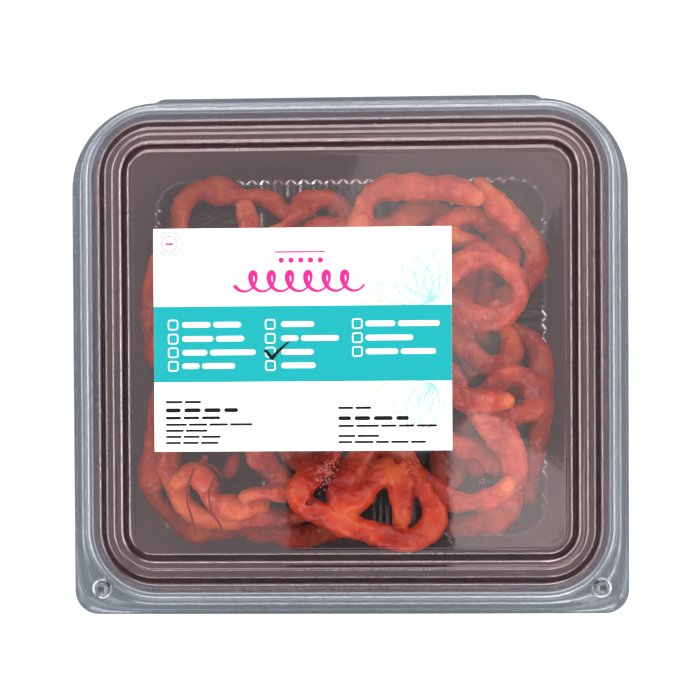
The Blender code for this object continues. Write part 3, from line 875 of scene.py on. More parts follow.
# Lowest first: each jalebi comes to rest on those before it, as the frame's own solids do.
STRANDS = (
    # lowest layer, against the floor and the walls
    Strand(((-67.5, 33.5), (-69.5, 25), (-70, 14.5), (-69, 4), (-65.5, -4.5), (-58, -8.5),
            (-50, -5), (-47.5, 4), (-51, 12.5), (-58.5, 15.5), (-60.5, 9), (-56, 4.5)), 4.0),
    Strand(((-66, -12.5), (-68.5, -19.5), (-68.5, -27.5), (-70, -36.5), (-70.5, -43), (-70, -48.5),
            (-66.5, -53), (-63, -56.5), (-59, -60), (-53, -62), (-46, -60.5), (-40.5, -59.5),
            (-36, -62)), 4.0),
    Strand(((57, 10), (62.5, 6.5), (66.5, 3), (67.5, -2), (68, -8), (68.5, -15), (68.5, -20.5),
            (67.5, -25.5), (66.5, -30.5), (65.5, -35), (65, -40.5), (64, -46), (63.5, -50)), 3.8),
    Strand(((-39.5, -55), (-37, -60), (-32.5, -62), (-25.5, -61.5), (-20.5, -63.5), (-13.5, -63),
            (-7.5, -61.5), (-1.5, -57.5), (1, -50.5), (-1.5, -42.5), (-8.5, -37.5), (-17.5, -37.5),
            (-23.5, -31.5), (-21.5, -23.5), (-13.5, -21.5)), 4.1),
    Strand(((-47, 36), (-54, 38), (-59.5, 42), (-61.5, 49), (-59.5, 55.5), (-55, 60), (-48.5, 60.5),
            (-42, 58.5), (-36.5, 57), (-32, 58), (-28, 56), (-24, 53), (-19.5, 49.5), (-17, 43),
            (-21, 36), (-29, 35)), 3.9),
    Strand(((60.5, -9.5), (56.5, -14), (51.5, -18), (44.5, -22.5), (39, -27), (38, -33.5),
            (38, -40.5), (35, -46), (32, -41.5), (31.5, -33.5), (28.5, -24.5), (21.5, -19.5),
            (13.5, -22.5)), 3.4),
    Strand(((-26.5, 43.5), (-21.5, 46), (-18, 51.5), (-14, 55), (-9, 56), (-4.5, 54.5), (-1, 51),
            (3, 47), (9.5, 45.5), (17, 47), (23, 51), (28.5, 52), (34.5, 51), (40.5, 47)), 3.9),
    Strand(((-37, 53), (-35.5, 47.5), (-36, 40.5), (-41, 33.5), (-45, 25.5), (-40, 18.5),
            (-31, 17.5), (-24, 23.5), (-19, 31.5), (-15, 40.5), (-8.5, 45), (-1, 43), (2, 35.5),
            (-3, 29.5)), 4.0),
    Strand(((8, -7.5), (13, -12), (11, -18), (3, -19), (-3.5, -12.5), (-2, -3.5), (7, 1.5),
            (18, -0.5), (25, -7.5), (28, -16.5), (31.5, -25), (36.5, -30.5), (42, -33), (47.5, -36),
            (51.5, -39)), 4.1),
    # middle layer
    Strand(((13, 26.5), (17, 22.5), (22, 26.5), (20, 33.5), (12, 35.5), (5, 30.5), (5, 21.5),
            (12, 14.5), (22, 14.5), (30, 21.5), (31, 31.5), (30, 39.5), (33, 45.5), (38.5, 49),
            (44, 49.5), (49.5, 46.5), (54.5, 41), (57.5, 36), (54, 32), (48.5, 35.5), (42.5, 40.5),
            (36, 41.5)), 4.0),
    Strand(((46, 59), (49.5, 54.5), (54, 50), (60, 44.5), (65, 40), (66.5, 35.5), (66, 31),
            (63, 27), (58, 22.5), (53.5, 21)), 4.3),
    Strand(((44, -4.5), (41.5, 4.5), (41, 15.5), (41.5, 27.5), (42.5, 35), (45.5, 38), (48, 34.5),
            (48, 25.5), (48, 15.5), (47.5, 7.5)), 3.3),
    Strand(((3, 43.5), (4.5, 49.5), (6, 54), (9, 57), (14, 59), (21.5, 58.5), (29.5, 58.5),
            (35.5, 57.5), (40, 56), (44, 54)), 4.2),
    Strand(((51, 16.5), (54, 10.5), (56.5, 6), (57, 2.5), (55.5, -2), (51.5, -4.5), (47, -3.5),
            (42.5, 1), (38, 5.5), (32, 9.5), (24, 8.5), (18, 2.5), (20, -6.5), (28, -9.5)), 4.0),
    Strand(((48.5, -23), (53, -22.5), (58.5, -21), (63.5, -19.5), (65.5, -16), (64.5, -12),
            (61.5, -8.5), (57.5, -6.5), (53, -8), (49.5, -12), (45.5, -15.5)), 4.1),
    Strand(((28.5, -2), (33.5, -6), (37, -11), (41, -17.5), (48, -24), (53, -29), (55.5, -34),
            (56.5, -40), (56.5, -46), (55, -52.5), (50.5, -57), (43.5, -59.5), (37.5, -60.5)), 4.3),
    # upper layer
    Strand(((-51.5, -13.5), (-57.5, -17.5), (-61.5, -24.5), (-63, -32.5), (-63, -38.5), (-61, -44),
            (-59, -50), (-55.5, -54.5), (-49.5, -57), (-44, -56.5), (-37.5, -55.5), (-31.5, -56),
            (-24.5, -56.5), (-17.5, -55.5)), 4.0),
    Strand(((-59.5, -43.5), (-56.5, -40.5), (-52, -40.5), (-49.5, -44.5), (-48, -49.5),
            (-42.5, -52), (-35.5, -52.5), (-30.5, -51)), 4.0),
    Strand(((-35, -48), (-29, -46.5), (-23, -47.5), (-21, -45), (-24.5, -41.5), (-30, -36),
            (-33.5, -30.5), (-37.5, -23.5), (-44.5, -18.5), (-47.5, -8.5), (-42.5, 1.5),
            (-33.5, 2.5), (-28.5, -5.5), (-32.5, -12.5), (-38.5, -9.5)), 4.0),
    Strand(((7.5, 3), (12.5, -1.5), (9.5, -8), (1.5, -8), (-1.5, -1), (1.5, 8), (10.5, 11),
            (18.5, 6), (20.5, -4), (15.5, -13), (9.5, -20), (12.5, -28), (19.5, -38.5), (24, -43.5),
            (29, -48), (35.5, -51), (44, -51), (50, -49.5), (53.5, -45)), 4.1),
    # the highest, close under the lid
    Strand(((33, 26), (36.5, 30), (42, 32.5), (48, 33), (53.5, 31), (58, 26), (59, 21.5),
            (57.5, 16.5), (53, 13), (46.5, 12), (39.5, 13.5), (33, 18), (26, 20), (20, 14), (19, 5),
            (23, -5), (29, -11.5), (35, -14.5), (40, -16), (44.5, -16.5), (49.5, -16.5),
            (53.5, -16.5)), 4.1),
    Strand(((-17, 6), (-12, 3.5), (-8, 8.5), (-11.5, 15.5), (-20, 17), (-26.5, 11), (-26.5, 1),
            (-19, -7), (-9, -10), (-3.5, -17), (-4.5, -26), (-9, -36), (-14, -42), (-17.5, -46.5),
            (-16, -51), (-11, -53.5), (-4, -56.5), (6, -60.5), (13, -62.5), (19.5, -64), (25, -62),
            (28.5, -58), (29, -53), (26, -48), (23, -43.5), (19.5, -39.5), (16.5, -34.5),
            (12.5, -30.5), (7, -32), (1.5, -38.5), (-3.5, -45.5), (-3, -50.5), (1.5, -51),
            (5, -47.5), (8.5, -42.5), (12.5, -39), (16.5, -41.5), (17.5, -48), (17.5, -56)), 4.1),
)


@dataclass(frozen=True)
class JalebiHeap:
    """The heap of jalebi: how they settle on each other, and the batter's skin."""

    step: float = 2.5 * MM
    curve_steps: int = 12
    crossing_lift: float = 1.25
    heap_gap: float = 0.7 * MM
    rest_gap: float = 0.35 * MM
    sag: float = 3.0 * MM
    sag_steps: int = 12
    steepest: float = 0.24
    tilt_steps: int = 9
    floor_z: float = 1.3 * MM
    floor_inset: float = 19.3 * MM
    floor_corner: float = 12.0 * MM
    wall_slope: float = 2.87
    fine_step: float = 0.7 * MM
    sides: int = 28
    cap_rings: int = 6
    boxiness: float = 2.5
    voxel: float = 0.55 * MM
    flatten: tuple[float, float] = (0.98, 0.86)
    tip_reach: float = 6.5 * MM
    finish: SyrupyBatter = SyrupyBatter("syrupy_batter", (0.38, 0.011, 0.005), (0.62, 0.044, 0.010),
                                        (0.80, 0.155, 0.030), (0.80, 0.17, 0.030), 0.27, 0.5)

    def smooth(self, values: np.ndarray, rounds: int) -> np.ndarray:
        """Average each inner row with its neighbours as (a + 2b + c) / 4."""
        values = values.copy()
        for _ in range(rounds):
            values[1:-1] = (values[:-2] + 2 * values[1:-1] + values[2:]) / 4
        return values

    def piped_path(self, strand: Strand) -> np.ndarray:
        """The strand's plan: a Catmull-Rom curve through its places, in even steps.

        Between places b and c, with a before and d after them, it is
        (2b + (c - a) t + (2a - 5b + 4c - d) t^2 + (3b - a - 3c + d) t^3) / 2.
        """
        places = np.array(strand.places) * MM + (0, PLAN.middle_y)
        places = np.vstack((2 * places[0] - places[1], places, 2 * places[-1] - places[-2]))
        a, b, c, d = (places[k:len(places) - 3 + k, None] for k in range(4))
        t = np.linspace(0, 1, self.curve_steps, endpoint=False)[None, :, None]
        cubic = 3 * b - a - 3 * c + d
        curve = (2 * b + (c - a) * t + (2 * a - 5 * b + 4 * c - d) * t ** 2 + cubic * t ** 3) / 2
        curve = np.vstack((curve.reshape(-1, 2), places[-2]))
        travelled = distance_along(curve)
        even = np.linspace(0, travelled[-1], max(2, round(travelled[-1] / self.step)) + 1)
        return self.smooth(points_at(curve, travelled, even), 1)

    def radii(self, strand: Strand, count: int) -> np.ndarray:
        """Uneven thickness: slow swells along the strand, and thinner ends."""
        along = np.linspace(0, 1, count)
        phase = sum(strand.places[0])
        swell = 1 + 0.09 * np.sin(14 * along + phase) + 0.06 * np.sin(37 * along + 2 * phase)
        ends = 0.8 + 0.2 * np.clip(np.minimum(along, 1 - along) * count / 3, 0, 1)
        return strand.radius * MM * swell * ends

    @staticmethod
    def apart(one: np.ndarray, two: np.ndarray) -> np.ndarray:
        """Distances in plan between every point of one and every point of two."""
        return np.hypot(one[:, None, 0] - two[None, :, 0], one[:, None, 1] - two[None, :, 1])

    def crossings(self, path: np.ndarray, radii: np.ndarray) -> np.ndarray:
        """Rise of each point over the strand's own earlier turns, fused into them."""
        rise = np.zeros(len(path))
        reach = radii[:, None] + radii[None, :]
        near = np.clip(1 - (self.apart(path, path) / reach) ** 2, 0, 1)
        for i in range(8, len(path)):
            over = rise[:i - 7] + self.crossing_lift * radii[i] * np.sqrt(near[i, :i - 7])
            touched = near[i, :i - 7] > 0
            rise[i] = over[touched].max() if touched.any() else 0
        return self.smooth(rise, 3)

    def past_floor(self, path: np.ndarray) -> np.ndarray:
        """Plan distance of each point past the floor's rounded outline, negative inside it."""
        half = np.array(PLAN.bead_half) - self.floor_inset
        past = np.abs(path - np.array((0, PLAN.middle_y))) - (half - self.floor_corner)
        outside = np.linalg.norm(np.clip(past, 0, None), axis=1)
        return outside + np.minimum(past.max(axis=1), 0) - self.floor_corner

    def needed(self, path: np.ndarray, radii: np.ndarray, below: list) -> np.ndarray:
        """Lowest height of each point that clears the floor, the wall and the strands below."""
        clear = radii + self.rest_gap
        lean = math.cos(math.atan(1 / self.wall_slope))
        up_the_wall = self.floor_z + self.wall_slope * (self.past_floor(path) + clear / lean)
        heights = np.maximum(self.floor_z + clear, up_the_wall)
        for other, other_radii in below:
            reach = radii[:, None] + other_radii[None, :] + self.heap_gap
            square = reach ** 2 - self.apart(path, other) ** 2
            over = np.where(square > 0, other[None, :, 2] + np.sqrt(np.clip(square, 0, None)), 0)
            heights = np.maximum(heights, over.max(axis=1))
        return heights

    def settle(self, strand: Strand, below: list) -> tuple[np.ndarray, np.ndarray]:
        """Lower a strand onto the heap: take the tilt that lies lowest, then let it sag.

        Args:
            strand: The strand as piped.
            below: Paths and radii of the strands that already lie there.

        Returns:
            Its path in the frame, and its radius at each point.
        """
        path = self.piped_path(strand)
        radii = self.radii(strand, len(path))
        rise = self.crossings(path, radii)
        needed = self.needed(path, radii, below)
        slopes = np.linspace(-self.steepest, self.steepest, self.tilt_steps)
        pairs = np.stack(np.meshgrid(slopes, slopes, indexing="ij"), axis=-1).reshape(-1, 2)
        shapes = rise + pairs @ (path - path.mean(axis=0)).T
        shapes += (needed - shapes).max(axis=1, keepdims=True)
        stiff = shapes[shapes.mean(axis=1).argmin()]
        heights = stiff
        for _ in range(self.sag_steps):
            lowered = np.maximum(heights - self.sag / self.sag_steps, stiff - self.sag)
            heights = np.maximum(needed, self.smooth(np.maximum(needed, lowered), 1))
        return np.column_stack((path, heights)), radii

    def skin(self, path: np.ndarray, radii: np.ndarray, seed: int) -> np.ndarray:
        """Rings round a finer copy of the path: radius = swell * (1 + lumps of space).

        Each section is |u| ^ b + |v| ^ b = 1, a circle grown a little boxy, then flattened.

        Args:
            path: The settled path.
            radii: Its radius at each point.
            seed: Which unevenness it has.

        Returns:
            Rings, with rounded ends.
        """
        travelled = distance_along(path)
        fine = np.linspace(0, travelled[-1], int(travelled[-1] / self.fine_step))
        line = self.smooth(points_at(path, travelled, fine), 8)
        radius = self.smooth(np.interp(fine, travelled, radii), 4)
        ahead = unit_rows(np.gradient(line, axis=0))
        tip_angle = np.linspace(0.12, 0.95, self.cap_rings) * math.pi / 2
        cap, beyond = np.sin(tip_angle), np.cos(tip_angle)
        head = line[0] - ahead[0] * radius[0] * beyond[:, None]
        tail = line[-1] + ahead[-1] * radius[-1] * beyond[::-1, None]
        line = np.concatenate((head, line, tail))
        ahead = np.concatenate((np.repeat(ahead[:1], self.cap_rings, 0), ahead,
                                np.repeat(ahead[-1:], self.cap_rings, 0)))
        radius = np.concatenate((radius[0] * cap, radius, radius[-1] * cap[::-1]))
        side = unit_rows(np.cross(ahead, (0, 0, 1.0)))
        up = np.cross(side, ahead)
        angle = np.linspace(0, 2 * math.pi, self.sides, endpoint=False)
        across, rise = np.cos(angle), np.sin(angle)
        boxy = (np.abs(across) ** self.boxiness + np.abs(rise) ** self.boxiness) ** (-1 / self.boxiness)
        spread = 1 + 0.17 * wavy(line, 20 * MM, seed + 700)[:, None, None]
        spoke = (self.flatten[0] * (boxy * across)[None, :, None] * side[:, None] * spread
                 + self.flatten[1] * (boxy * rise)[None, :, None] * up[:, None] / spread)
        surface = line[:, None] + radius[:, None, None] * spoke
        lumps = 0.075 * wavy(surface, 9 * MM, seed) + 0.04 * wavy(surface, 4 * MM, seed + 500)
        return line[:, None] + (radius[:, None] * (1 + lumps))[..., None] * spoke

    def fuse(self, thing: bpy.types.Object) -> None:
        """Melt the turns of a strand together where they touch, and keep the result."""
        fuse = thing.modifiers.new("fuse", "REMESH")
        fuse.mode = "VOXEL"
        fuse.voxel_size = self.voxel
        soften = thing.modifiers.new("soften", "SMOOTH")
        soften.factor = 0.5
        soften.iterations = 6
        depsgraph = bpy.context.evaluated_depsgraph_get()
        made = bpy.data.meshes.new_from_object(thing.evaluated_get(depsgraph))
        thing.modifiers.clear()
        rough, thing.data = thing.data, made
        bpy.data.meshes.remove(rough)
        made.polygons.foreach_set("use_smooth", [True] * len(made.polygons))

    def blister(self, thing: bpy.types.Object, ends: np.ndarray, seed: int) -> None:
        """Raise small blisters along the normals, and mark how near each point is to an end."""
        mesh = thing.data
        points, normals = read_points(mesh, "co"), read_points(mesh, "normal")
        rise = 0.10 * MM * wavy(points, 3.2 * MM, seed + 900)
        rise += 0.05 * MM * wavy(points, 1.5 * MM, seed + 901)
        rise += 0.35 * MM * np.clip(wavy(points, 5 * MM, seed + 902) - 0.55, 0, None)
        mesh.vertices.foreach_set("co", (points + normals * rise[:, None]).ravel())
        near = np.linalg.norm(points[:, None] - ends[None], axis=2).min(axis=1)
        put_mark(thing, TIP_MARK, smooth_rise(near, self.tip_reach, 2 * MM))
        mesh.update()

    def build(self) -> None:
        """Make every jalebi, lowest first."""
        material = self.finish.material()
        below: list[tuple[np.ndarray, np.ndarray]] = []
        for number, strand in enumerate(STRANDS, start=1):
            path, radii = self.settle(strand, below)
            below.append((path, radii))
            node = f"jalebi_{number:02d}"
            piece = PieceBuilder(f"piped_{node}")
            piece.add_rings(self.skin(path, radii, number))
            thing = piece.build(material)
            self.fuse(thing)
            self.blister(thing, path[[0, -1]], number)
            settle_in(thing, "tray", "jalebi", node)


# ---- Syrup under the lid --------------------------------------------------------------------
@dataclass(frozen=True)
class LidSyrup:
    """Syrup on the underside of the lid: patches, beads, runs and a little froth.

    Places are x and y in mm in the frame.

    Attributes:
        under: Height of the panel's underside, where the syrup hangs.
        patches: Place, length, width and turn in degrees of each wet patch.
        beads: Place and radius of each round drop.
        runs: Places that each thin run passes.
        froth: Place, half width, half length, turn in degrees and number of bubbles of each cluster.
    """

    under: float = 48.9 * MM
    patches: tuple = ((-38.8, -36.4, 9.0, 4.2, 68.0), (41.0, -37.4, 7.0, 5.2, 130.0),
                      (-13.0, -48.5, 3.6, 2.0, 20.0))
    beads: tuple = ((15.8, -34.7, 1.5), (-15.3, -35.5, 1.3), (-47.6, -33.7, 1.1), (6.5, -37.0, 0.8),
                    (-24.5, -40.5, 0.7), (30.5, -33.5, 0.8))
    runs: tuple = (((-51.0, -37.0), (-53.0, -42.0), (-53.8, -48.0), (-51.8, -54.0), (-51.0, -59.0)),
                   ((-44.3, -40.0), (-46.5, -45.0), (-46.0, -51.0), (-42.5, -56.0), (-41.5, -60.5)),
                   ((-49.5, -34.5), (-45.0, -36.5), (-41.5, -40.0)))
    froth: tuple = ((-7.6, -38.4, 3.0, 6.0, 66.0, 110), (20.0, -38.0, 2.0, 3.0, 30.0, 16),
                    (43.5, -41.0, 1.5, 2.5, 60.0, 8))
    syrup: PlainFinish = PlainFinish("dark_syrup", (0.20, 0.005, 0.003), 0.08, 0.15)
    foam: PlainFinish = PlainFinish("syrup_froth", (0.66, 0.16, 0.12), 0.12, 0.5)

    def drop(self, piece: PieceBuilder, place: np.ndarray, half: tuple[float, float], turn: float,
             depth: float) -> None:
        """Add a hanging lens: radius = cos a, depth = sin a, for a from 0 to 80 degrees.

        Args:
            piece: The piece that it belongs to.
            place: Its middle on X and Y, in metres.
            half: Half its length and half its width.
            turn: How far its length is turned from X, in degrees.
            depth: How far it hangs down.
        """
        rise = np.radians(np.linspace(80, 0, 6))
        around = np.linspace(0, 2 * math.pi, 28, endpoint=False)
        oval = circle(around) * half
        oval *= 1 + 0.06 * np.sin(3 * around + 5 * turn)[:, None]
        oval = turned(oval, turn)
        rings = np.empty((len(rise), len(around), 3))
        rings[..., :2] = place + np.cos(rise)[:, None, None] * oval[None]
        rings[..., 2] = (self.under - depth * np.sin(rise))[:, None]
        piece.add_rings(rings)

    def run(self, piece: PieceBuilder, places: tuple) -> None:
        """Add a thin run of syrup: a half round thread through its places."""
        corners = np.array(places) * MM
        share = np.linspace(0, 1, 40)
        line = points_at(corners, np.linspace(0, 1, len(corners)), share)
        for _ in range(4):
            line[1:-1] = (line[:-2] + line[1:-1] + line[2:]) / 3
        ahead = unit_rows(np.gradient(line, axis=0))
        side = np.column_stack((ahead[:, 1], -ahead[:, 0]))
        angle = np.linspace(0, -math.pi, 7)
        width = 0.32 * MM * (1 + 0.35 * np.sin(11 * share + places[0][0]))
        rings = np.empty((len(line), len(angle), 3))
        rings[..., :2] = line[:, None] + (width[:, None] * np.cos(angle))[..., None] * side[:, None]
        rings[..., 2] = self.under + width[:, None] * np.sin(angle)
        piece.add_rings(rings[:, ::-1])

    def build(self) -> None:
        """Make the syrup and its froth, which ride on the lid."""
        wet = PieceBuilder("lid_syrup")
        for x, y, length, width, turn in self.patches:
            self.drop(wet, np.array((x, y)) * MM, (length / 2 * MM, width / 2 * MM), turn, 0.5 * MM)
        for x, y, radius in self.beads:
            self.drop(wet, np.array((x, y)) * MM, (radius * MM, radius * MM), 0.0, 0.7 * radius * MM)
        for places in self.runs:
            self.run(wet, places)
        settle_in(wet.build(self.syrup.material()), "lid", "jalebi")
        foam = PieceBuilder("lid_froth")
        chance = np.random.default_rng(7)
        for x, y, across, along, turn, number in self.froth:
            spot = chance.normal(size=(number, 2)) * (along * 0.5, across * 0.5)
            for place in turned(spot, turn) + (x, y):
                size = chance.uniform(0.12, 0.28) * MM
                self.drop(foam, place * MM, (size, size), 0.0, size)
        settle_in(foam.build(self.foam.material()), "lid", "jalebi")


# ---- The label ------------------------------------------------------------------------------
class LabelPrint(PieceBuilder):
    """One ink of the label: plates and pen strokes, placed from the label's top left corner.

    Places on the label are (right, down) in mm, and its print lies between two heights.
    """

    def __init__(self, name: str, corner: tuple[float, float], low: float, high: float) -> None:
        """Start an ink at the label's top left corner, printed between two heights."""
        super().__init__(name)
        self.corner = np.array(corner)
        self.low = low
        self.high = high
        self.lift = 0.0

    def on_label(self, places: np.ndarray) -> np.ndarray:
        """Places on the label, in mm right and down, as x and y in the frame."""
        return self.corner + np.asarray(places, dtype=float) * (MM, -MM)

    def bar(self, left: float, middle: float, right: float, height: float) -> None:
        """A bar with round ends: two half circles of its height, joined by straight sides."""
        angle = np.linspace(-math.pi / 2, math.pi / 2, 7)
        cap = circle(angle) * height / 2
        ends = np.concatenate((cap + (right - height / 2, 0), -cap + (left + height / 2, 0)))
        self.add_prism(self.on_label(ends * (1, -1) + (0, middle)), self.low, self.high)

    def stroke(self, path: np.ndarray, width: np.ndarray | float) -> None:
        """A pen stroke: a flat bar swept along a path, half its width to each side.

        Its top climbs a little along the path and from stroke to stroke, so that where strokes
        cross one lies clear on the other.

        Args:
            path: Places on the label in mm.
            width: The pen's width in mm, one for all or one for each place.
        """
        line = self.on_label(path)
        ahead = np.gradient(line, axis=0)
        ahead /= np.maximum(np.linalg.norm(ahead, axis=1, keepdims=True), 1e-12)
        side = np.column_stack((-ahead[:, 1], ahead[:, 0])) * np.reshape(width, (-1, 1)) / 2 * MM
        rings = np.empty((len(line), 4, 3))
        rings[:, (0, 3), :2] = (line - side)[:, None]
        rings[:, (1, 2), :2] = (line + side)[:, None]
        self.lift += 0.028
        climb = 0.3 + 0.7 * ((self.lift + np.linspace(0, 0.12, len(line))) % 1.0)
        rings[:, :2, 2] = self.low
        rings[:, 2:, 2] = (self.low + (self.high - self.low) * climb)[:, None]
        self.add_rings(rings)

    def box(self, left: float, middle: float, size: float, pen: float) -> None:
        """An open box with round corners: a superellipse |u| ^ 6 + |v| ^ 6 = 1, drawn round."""
        angle = np.linspace(0, 2 * math.pi, 41)
        round_off = (np.abs(np.cos(angle)) ** 6 + np.abs(np.sin(angle)) ** 6) ** (-1 / 6)
        loop = circle(angle) * round_off[:, None] * size / 2
        self.stroke(loop + (left + size / 2, middle), pen)

    def petal(self, root: tuple[float, float], turn: float, length: float, width: float,
              pen: float, curl: float = 0.0) -> None:
        """An outlined petal: half width = w / 2 sin(pi s) (1.25 - s / 2), bent aside by curl s^2."""
        s = np.concatenate((np.linspace(0, 1, 15), np.linspace(1, 0, 15)[1:]))
        hand = np.concatenate((np.ones(15), -np.ones(14)))
        across = hand * width / 2 * np.sin(math.pi * s) * (1.25 - s / 2) + curl * s * s
        cosine, sine = math.cos(math.radians(turn)), math.sin(math.radians(turn))
        way, side = (cosine, -sine), (sine, cosine)
        self.stroke(np.outer(s * length, way) + np.outer(across, side) + root, pen)


@dataclass(frozen=True)
class Label:
    """The white paper label: a band with boxes to tick, and bars that stand for its words.

    All sizes here are in mm on the label, right and down from its top left corner. The levels
    are heights over its underside in the proportions of the whole, and a spray or a cluster of
    leaves is its root, with the turn in degrees, length, width and curl of each petal.
    """

    paper: PlainFinish = PlainFinish("label_paper", (0.88, 0.88, 0.88), 0.5)
    levels: tuple[float, ...] = (0.0, 0.06, 0.11, 0.15, 0.2)
    band: tuple[float, float] = (25.5, 50.3)
    box_rows: tuple[float, ...] = (31.5, 36.1, 40.6, 45.0)
    box_columns: tuple[float, ...] = (4.8, 36.7, 65.2)
    box_size: float = 3.0
    box_pen: float = 0.36
    words: tuple = (
        ((9.3, 18.6, 28.7), (9.3, 19.5, 29.7), (9.3, 17.5, 33.4), (9.3, 14.9, 26.6)),
        ((41.8, 52.6, None), (41.8, 47.4, 60.7), (41.8, 52.4, None), (41.8, 53.0, None)),
        ((69.4, 79.1, 93.6), (69.4, 84.9, None), (69.4, 80.0, 92.3)))
    word_height: float = 1.75
    notes: tuple = (
        (3.7, 56.8, 16.0, 0.8), (3.7, 59.5, 28.6, 1.35), (3.7, 62.0, 22.4, 0.95),
        (3.7, 64.2, 32.8, 0.75), (3.7, 66.2, 18.0, 0.75), (3.7, 68.2, 22.4, 0.75),
        (3.7, 70.2, 21.6, 0.75), (60.3, 59.0, 71.8, 0.8), (60.3, 62.4, 84.5, 1.35),
        (60.3, 64.9, 93.2, 0.75), (60.3, 68.2, 74.3, 0.75), (60.3, 70.2, 89.6, 0.75))
    word_gap: float = 0.9
    seal_at: tuple[float, float] = (5.25, 5.0)
    sprays: tuple = (
        ((91.0, 24.6), 24.2, ((98, 21.0, 8.0, 0.0), (122, 20.0, 8.5, 1.4), (78, 19.0, 7.0, -1.0),
                              (146, 19.0, 8.0, 2.4), (60, 11.0, 5.0, -0.6), (170, 22.0, 5.5, 2.6))),
        ((91.0, 51.0), 51.4, ((-98, 16.5, 7.0, 0.0), (-124, 16.5, 7.5, -1.4), (-76, 15.0, 5.5, 0.8),
                              (-152, 17.5, 7.0, -2.0))))
    leaves: tuple = (
        ((74.6, 24.6), ((118, 9.5, 3.6, 0.5), (150, 7.0, 3.0, 0.5), (84, 6.0, 2.6, -0.3))),
        ((76.0, 51.0), ((-122, 6.5, 3.2, -0.5), (-158, 6.5, 2.8, -0.4))))

    def print_ink(self, level: int, name: str) -> LabelPrint:
        """Start one ink's print at a level over the label's underside."""
        low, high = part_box("label")
        spread = (high.z - low.z) / self.levels[-1]
        return LabelPrint(name, (low.x, high.y), low.z + spread * (self.levels[level] - 0.01),
                          low.z + spread * self.levels[level + 1])

    def dress(self, piece: LabelPrint, ink: Ink) -> None:
        """Make a print's object and let it ride on the lid."""
        paper = PlainFinish(f"label_ink_{ink.name.lower()}", ink.value, 0.6)
        settle_in(piece.build(paper.material(), smooth=False), "lid", "label_paper")

    def white_print(self) -> None:
        """The boxes on the band, and a bar for each word beside them."""
        piece = self.print_ink(2, "label_list")
        for column, entries in zip(self.box_columns, self.words):
            for row, (start, split, end) in zip(self.box_rows, entries):
                piece.box(column, row, self.box_size, self.box_pen)
                piece.bar(start, row, split, self.word_height)
                if end:
                    piece.bar(split + self.word_gap, row, end, self.word_height)
        self.dress(piece, Ink.WHITE)

    def black_print(self) -> None:
        """Short bars of small print, and the tick drawn by hand in one box."""
        piece = self.print_ink(3, "label_notes")
        for left, middle, right, height in self.notes:
            cuts = np.linspace(left, right, max(2, round((right - left) / 6.5) + 1))
            between = (np.abs(cuts - left) > 0.1) * (cuts < right - 0.1)
            cuts = cuts + 0.9 * np.sin(7 * cuts + middle) * between
            for start, end in zip(cuts[:-1], cuts[1:]):
                piece.bar(start, middle, end - height * 0.8, height)
        s = np.linspace(0, 1, 24)
        path = np.column_stack((36.2 + 2.6 * s / 0.3, 39.9 + 2.9 * (s / 0.3) ** 1.4))
        rise = (s[s > 0.3] - 0.3) / 0.7
        path[s > 0.3] = np.column_stack((38.8 + 5.6 * rise, 42.8 - 5.6 * rise ** 0.8))
        piece.stroke(path, 1.25 - 0.85 * np.abs(s - 0.32) / 0.68)
        self.dress(piece, Ink.BLACK)

    def pink_print(self) -> None:
        """A coil of loops with a line and beads over it, and the seal's inner ring.

        The coil is the curve x = x0 + p t / 2 pi - r sin t, y = y0 - q cos t.
        """
        piece = self.print_ink(1, "label_coil")
        t = np.linspace(0.6 * math.pi, 13.4 * math.pi, 320)
        coil = np.column_stack((26.8 + 6.0 * t / (2 * math.pi) - 2.2 * np.sin(t),
                                17.6 - 3.1 * np.cos(t)))
        piece.stroke(coil, 1.3 + 0.5 * np.sin(t + 0.8))
        piece.bar(39.8, 7.9, 56.4, 0.55)
        for step in range(5):
            piece.bar(41.0 + 3.2 * step, 10.6, 42.9 + 3.2 * step, 1.9)
        piece.stroke(circle(np.linspace(0, 2 * math.pi, 49)) * 2.55 + self.seal_at, 0.3)
        piece.bar(3.9, 5.0, 6.6, 0.7)
        self.dress(piece, Ink.PINK)

    def line_art(self) -> None:
        """Pale outlined petals beside both white fields, and the seal's toothed outer ring."""
        seal = self.print_ink(1, "label_seal")
        angle = np.linspace(0, 2 * math.pi, 193)
        teeth = 3.55 + 0.55 * np.abs(np.sin(8 * angle))
        seal.stroke(circle(angle) * teeth[:, None] + self.seal_at, 0.42)
        seal.stroke(circle(angle) * 3.1 + self.seal_at, 0.22)
        self.dress(seal, Ink.SEAL_GREEN)
        pale = self.print_ink(1, "label_petals")
        for root, inner_root, petals in self.sprays:
            for turn, length, width, curl in petals:
                pale.petal(root, turn, length, width, 0.4, curl)
                pale.petal((root[0], inner_root), turn, 0.55 * length, 0.5 * width, 0.3, 0.5 * curl)
        self.dress(pale, Ink.PALE_TEAL)
        peach = self.print_ink(1, "label_leaves")
        for root, petals in self.leaves:
            for turn, length, width, curl in petals:
                peach.petal(root, turn, length, width, 0.36, curl)
        self.dress(peach, Ink.PEACH)

    def build(self) -> None:
        """Make the paper, the band and every ink."""
        low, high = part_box("label")
        spread = (high.z - low.z) / self.levels[-1]
        sheet = PieceBuilder("label_sheet")
        corners = np.array(((low.x, low.y), (high.x, low.y), (high.x, high.y), (low.x, high.y)))
        sheet.add_prism(corners, low.z, low.z + spread * self.levels[1])
        settle_in(sheet.build(self.paper.material(), smooth=False), "lid", "label_paper", "label")
        band = self.print_ink(1, "label_band")
        width = (high.x - low.x) / MM
        inset = 0.03
        top, bottom = self.band
        band.add_prism(band.on_label(((inset, bottom), (width - inset, bottom), (width - inset, top),
                                      (inset, top))), band.low, band.high)
        self.dress(band, Ink.TEAL)
        self.white_print()
        self.black_print()
        self.pink_print()
        self.line_art()


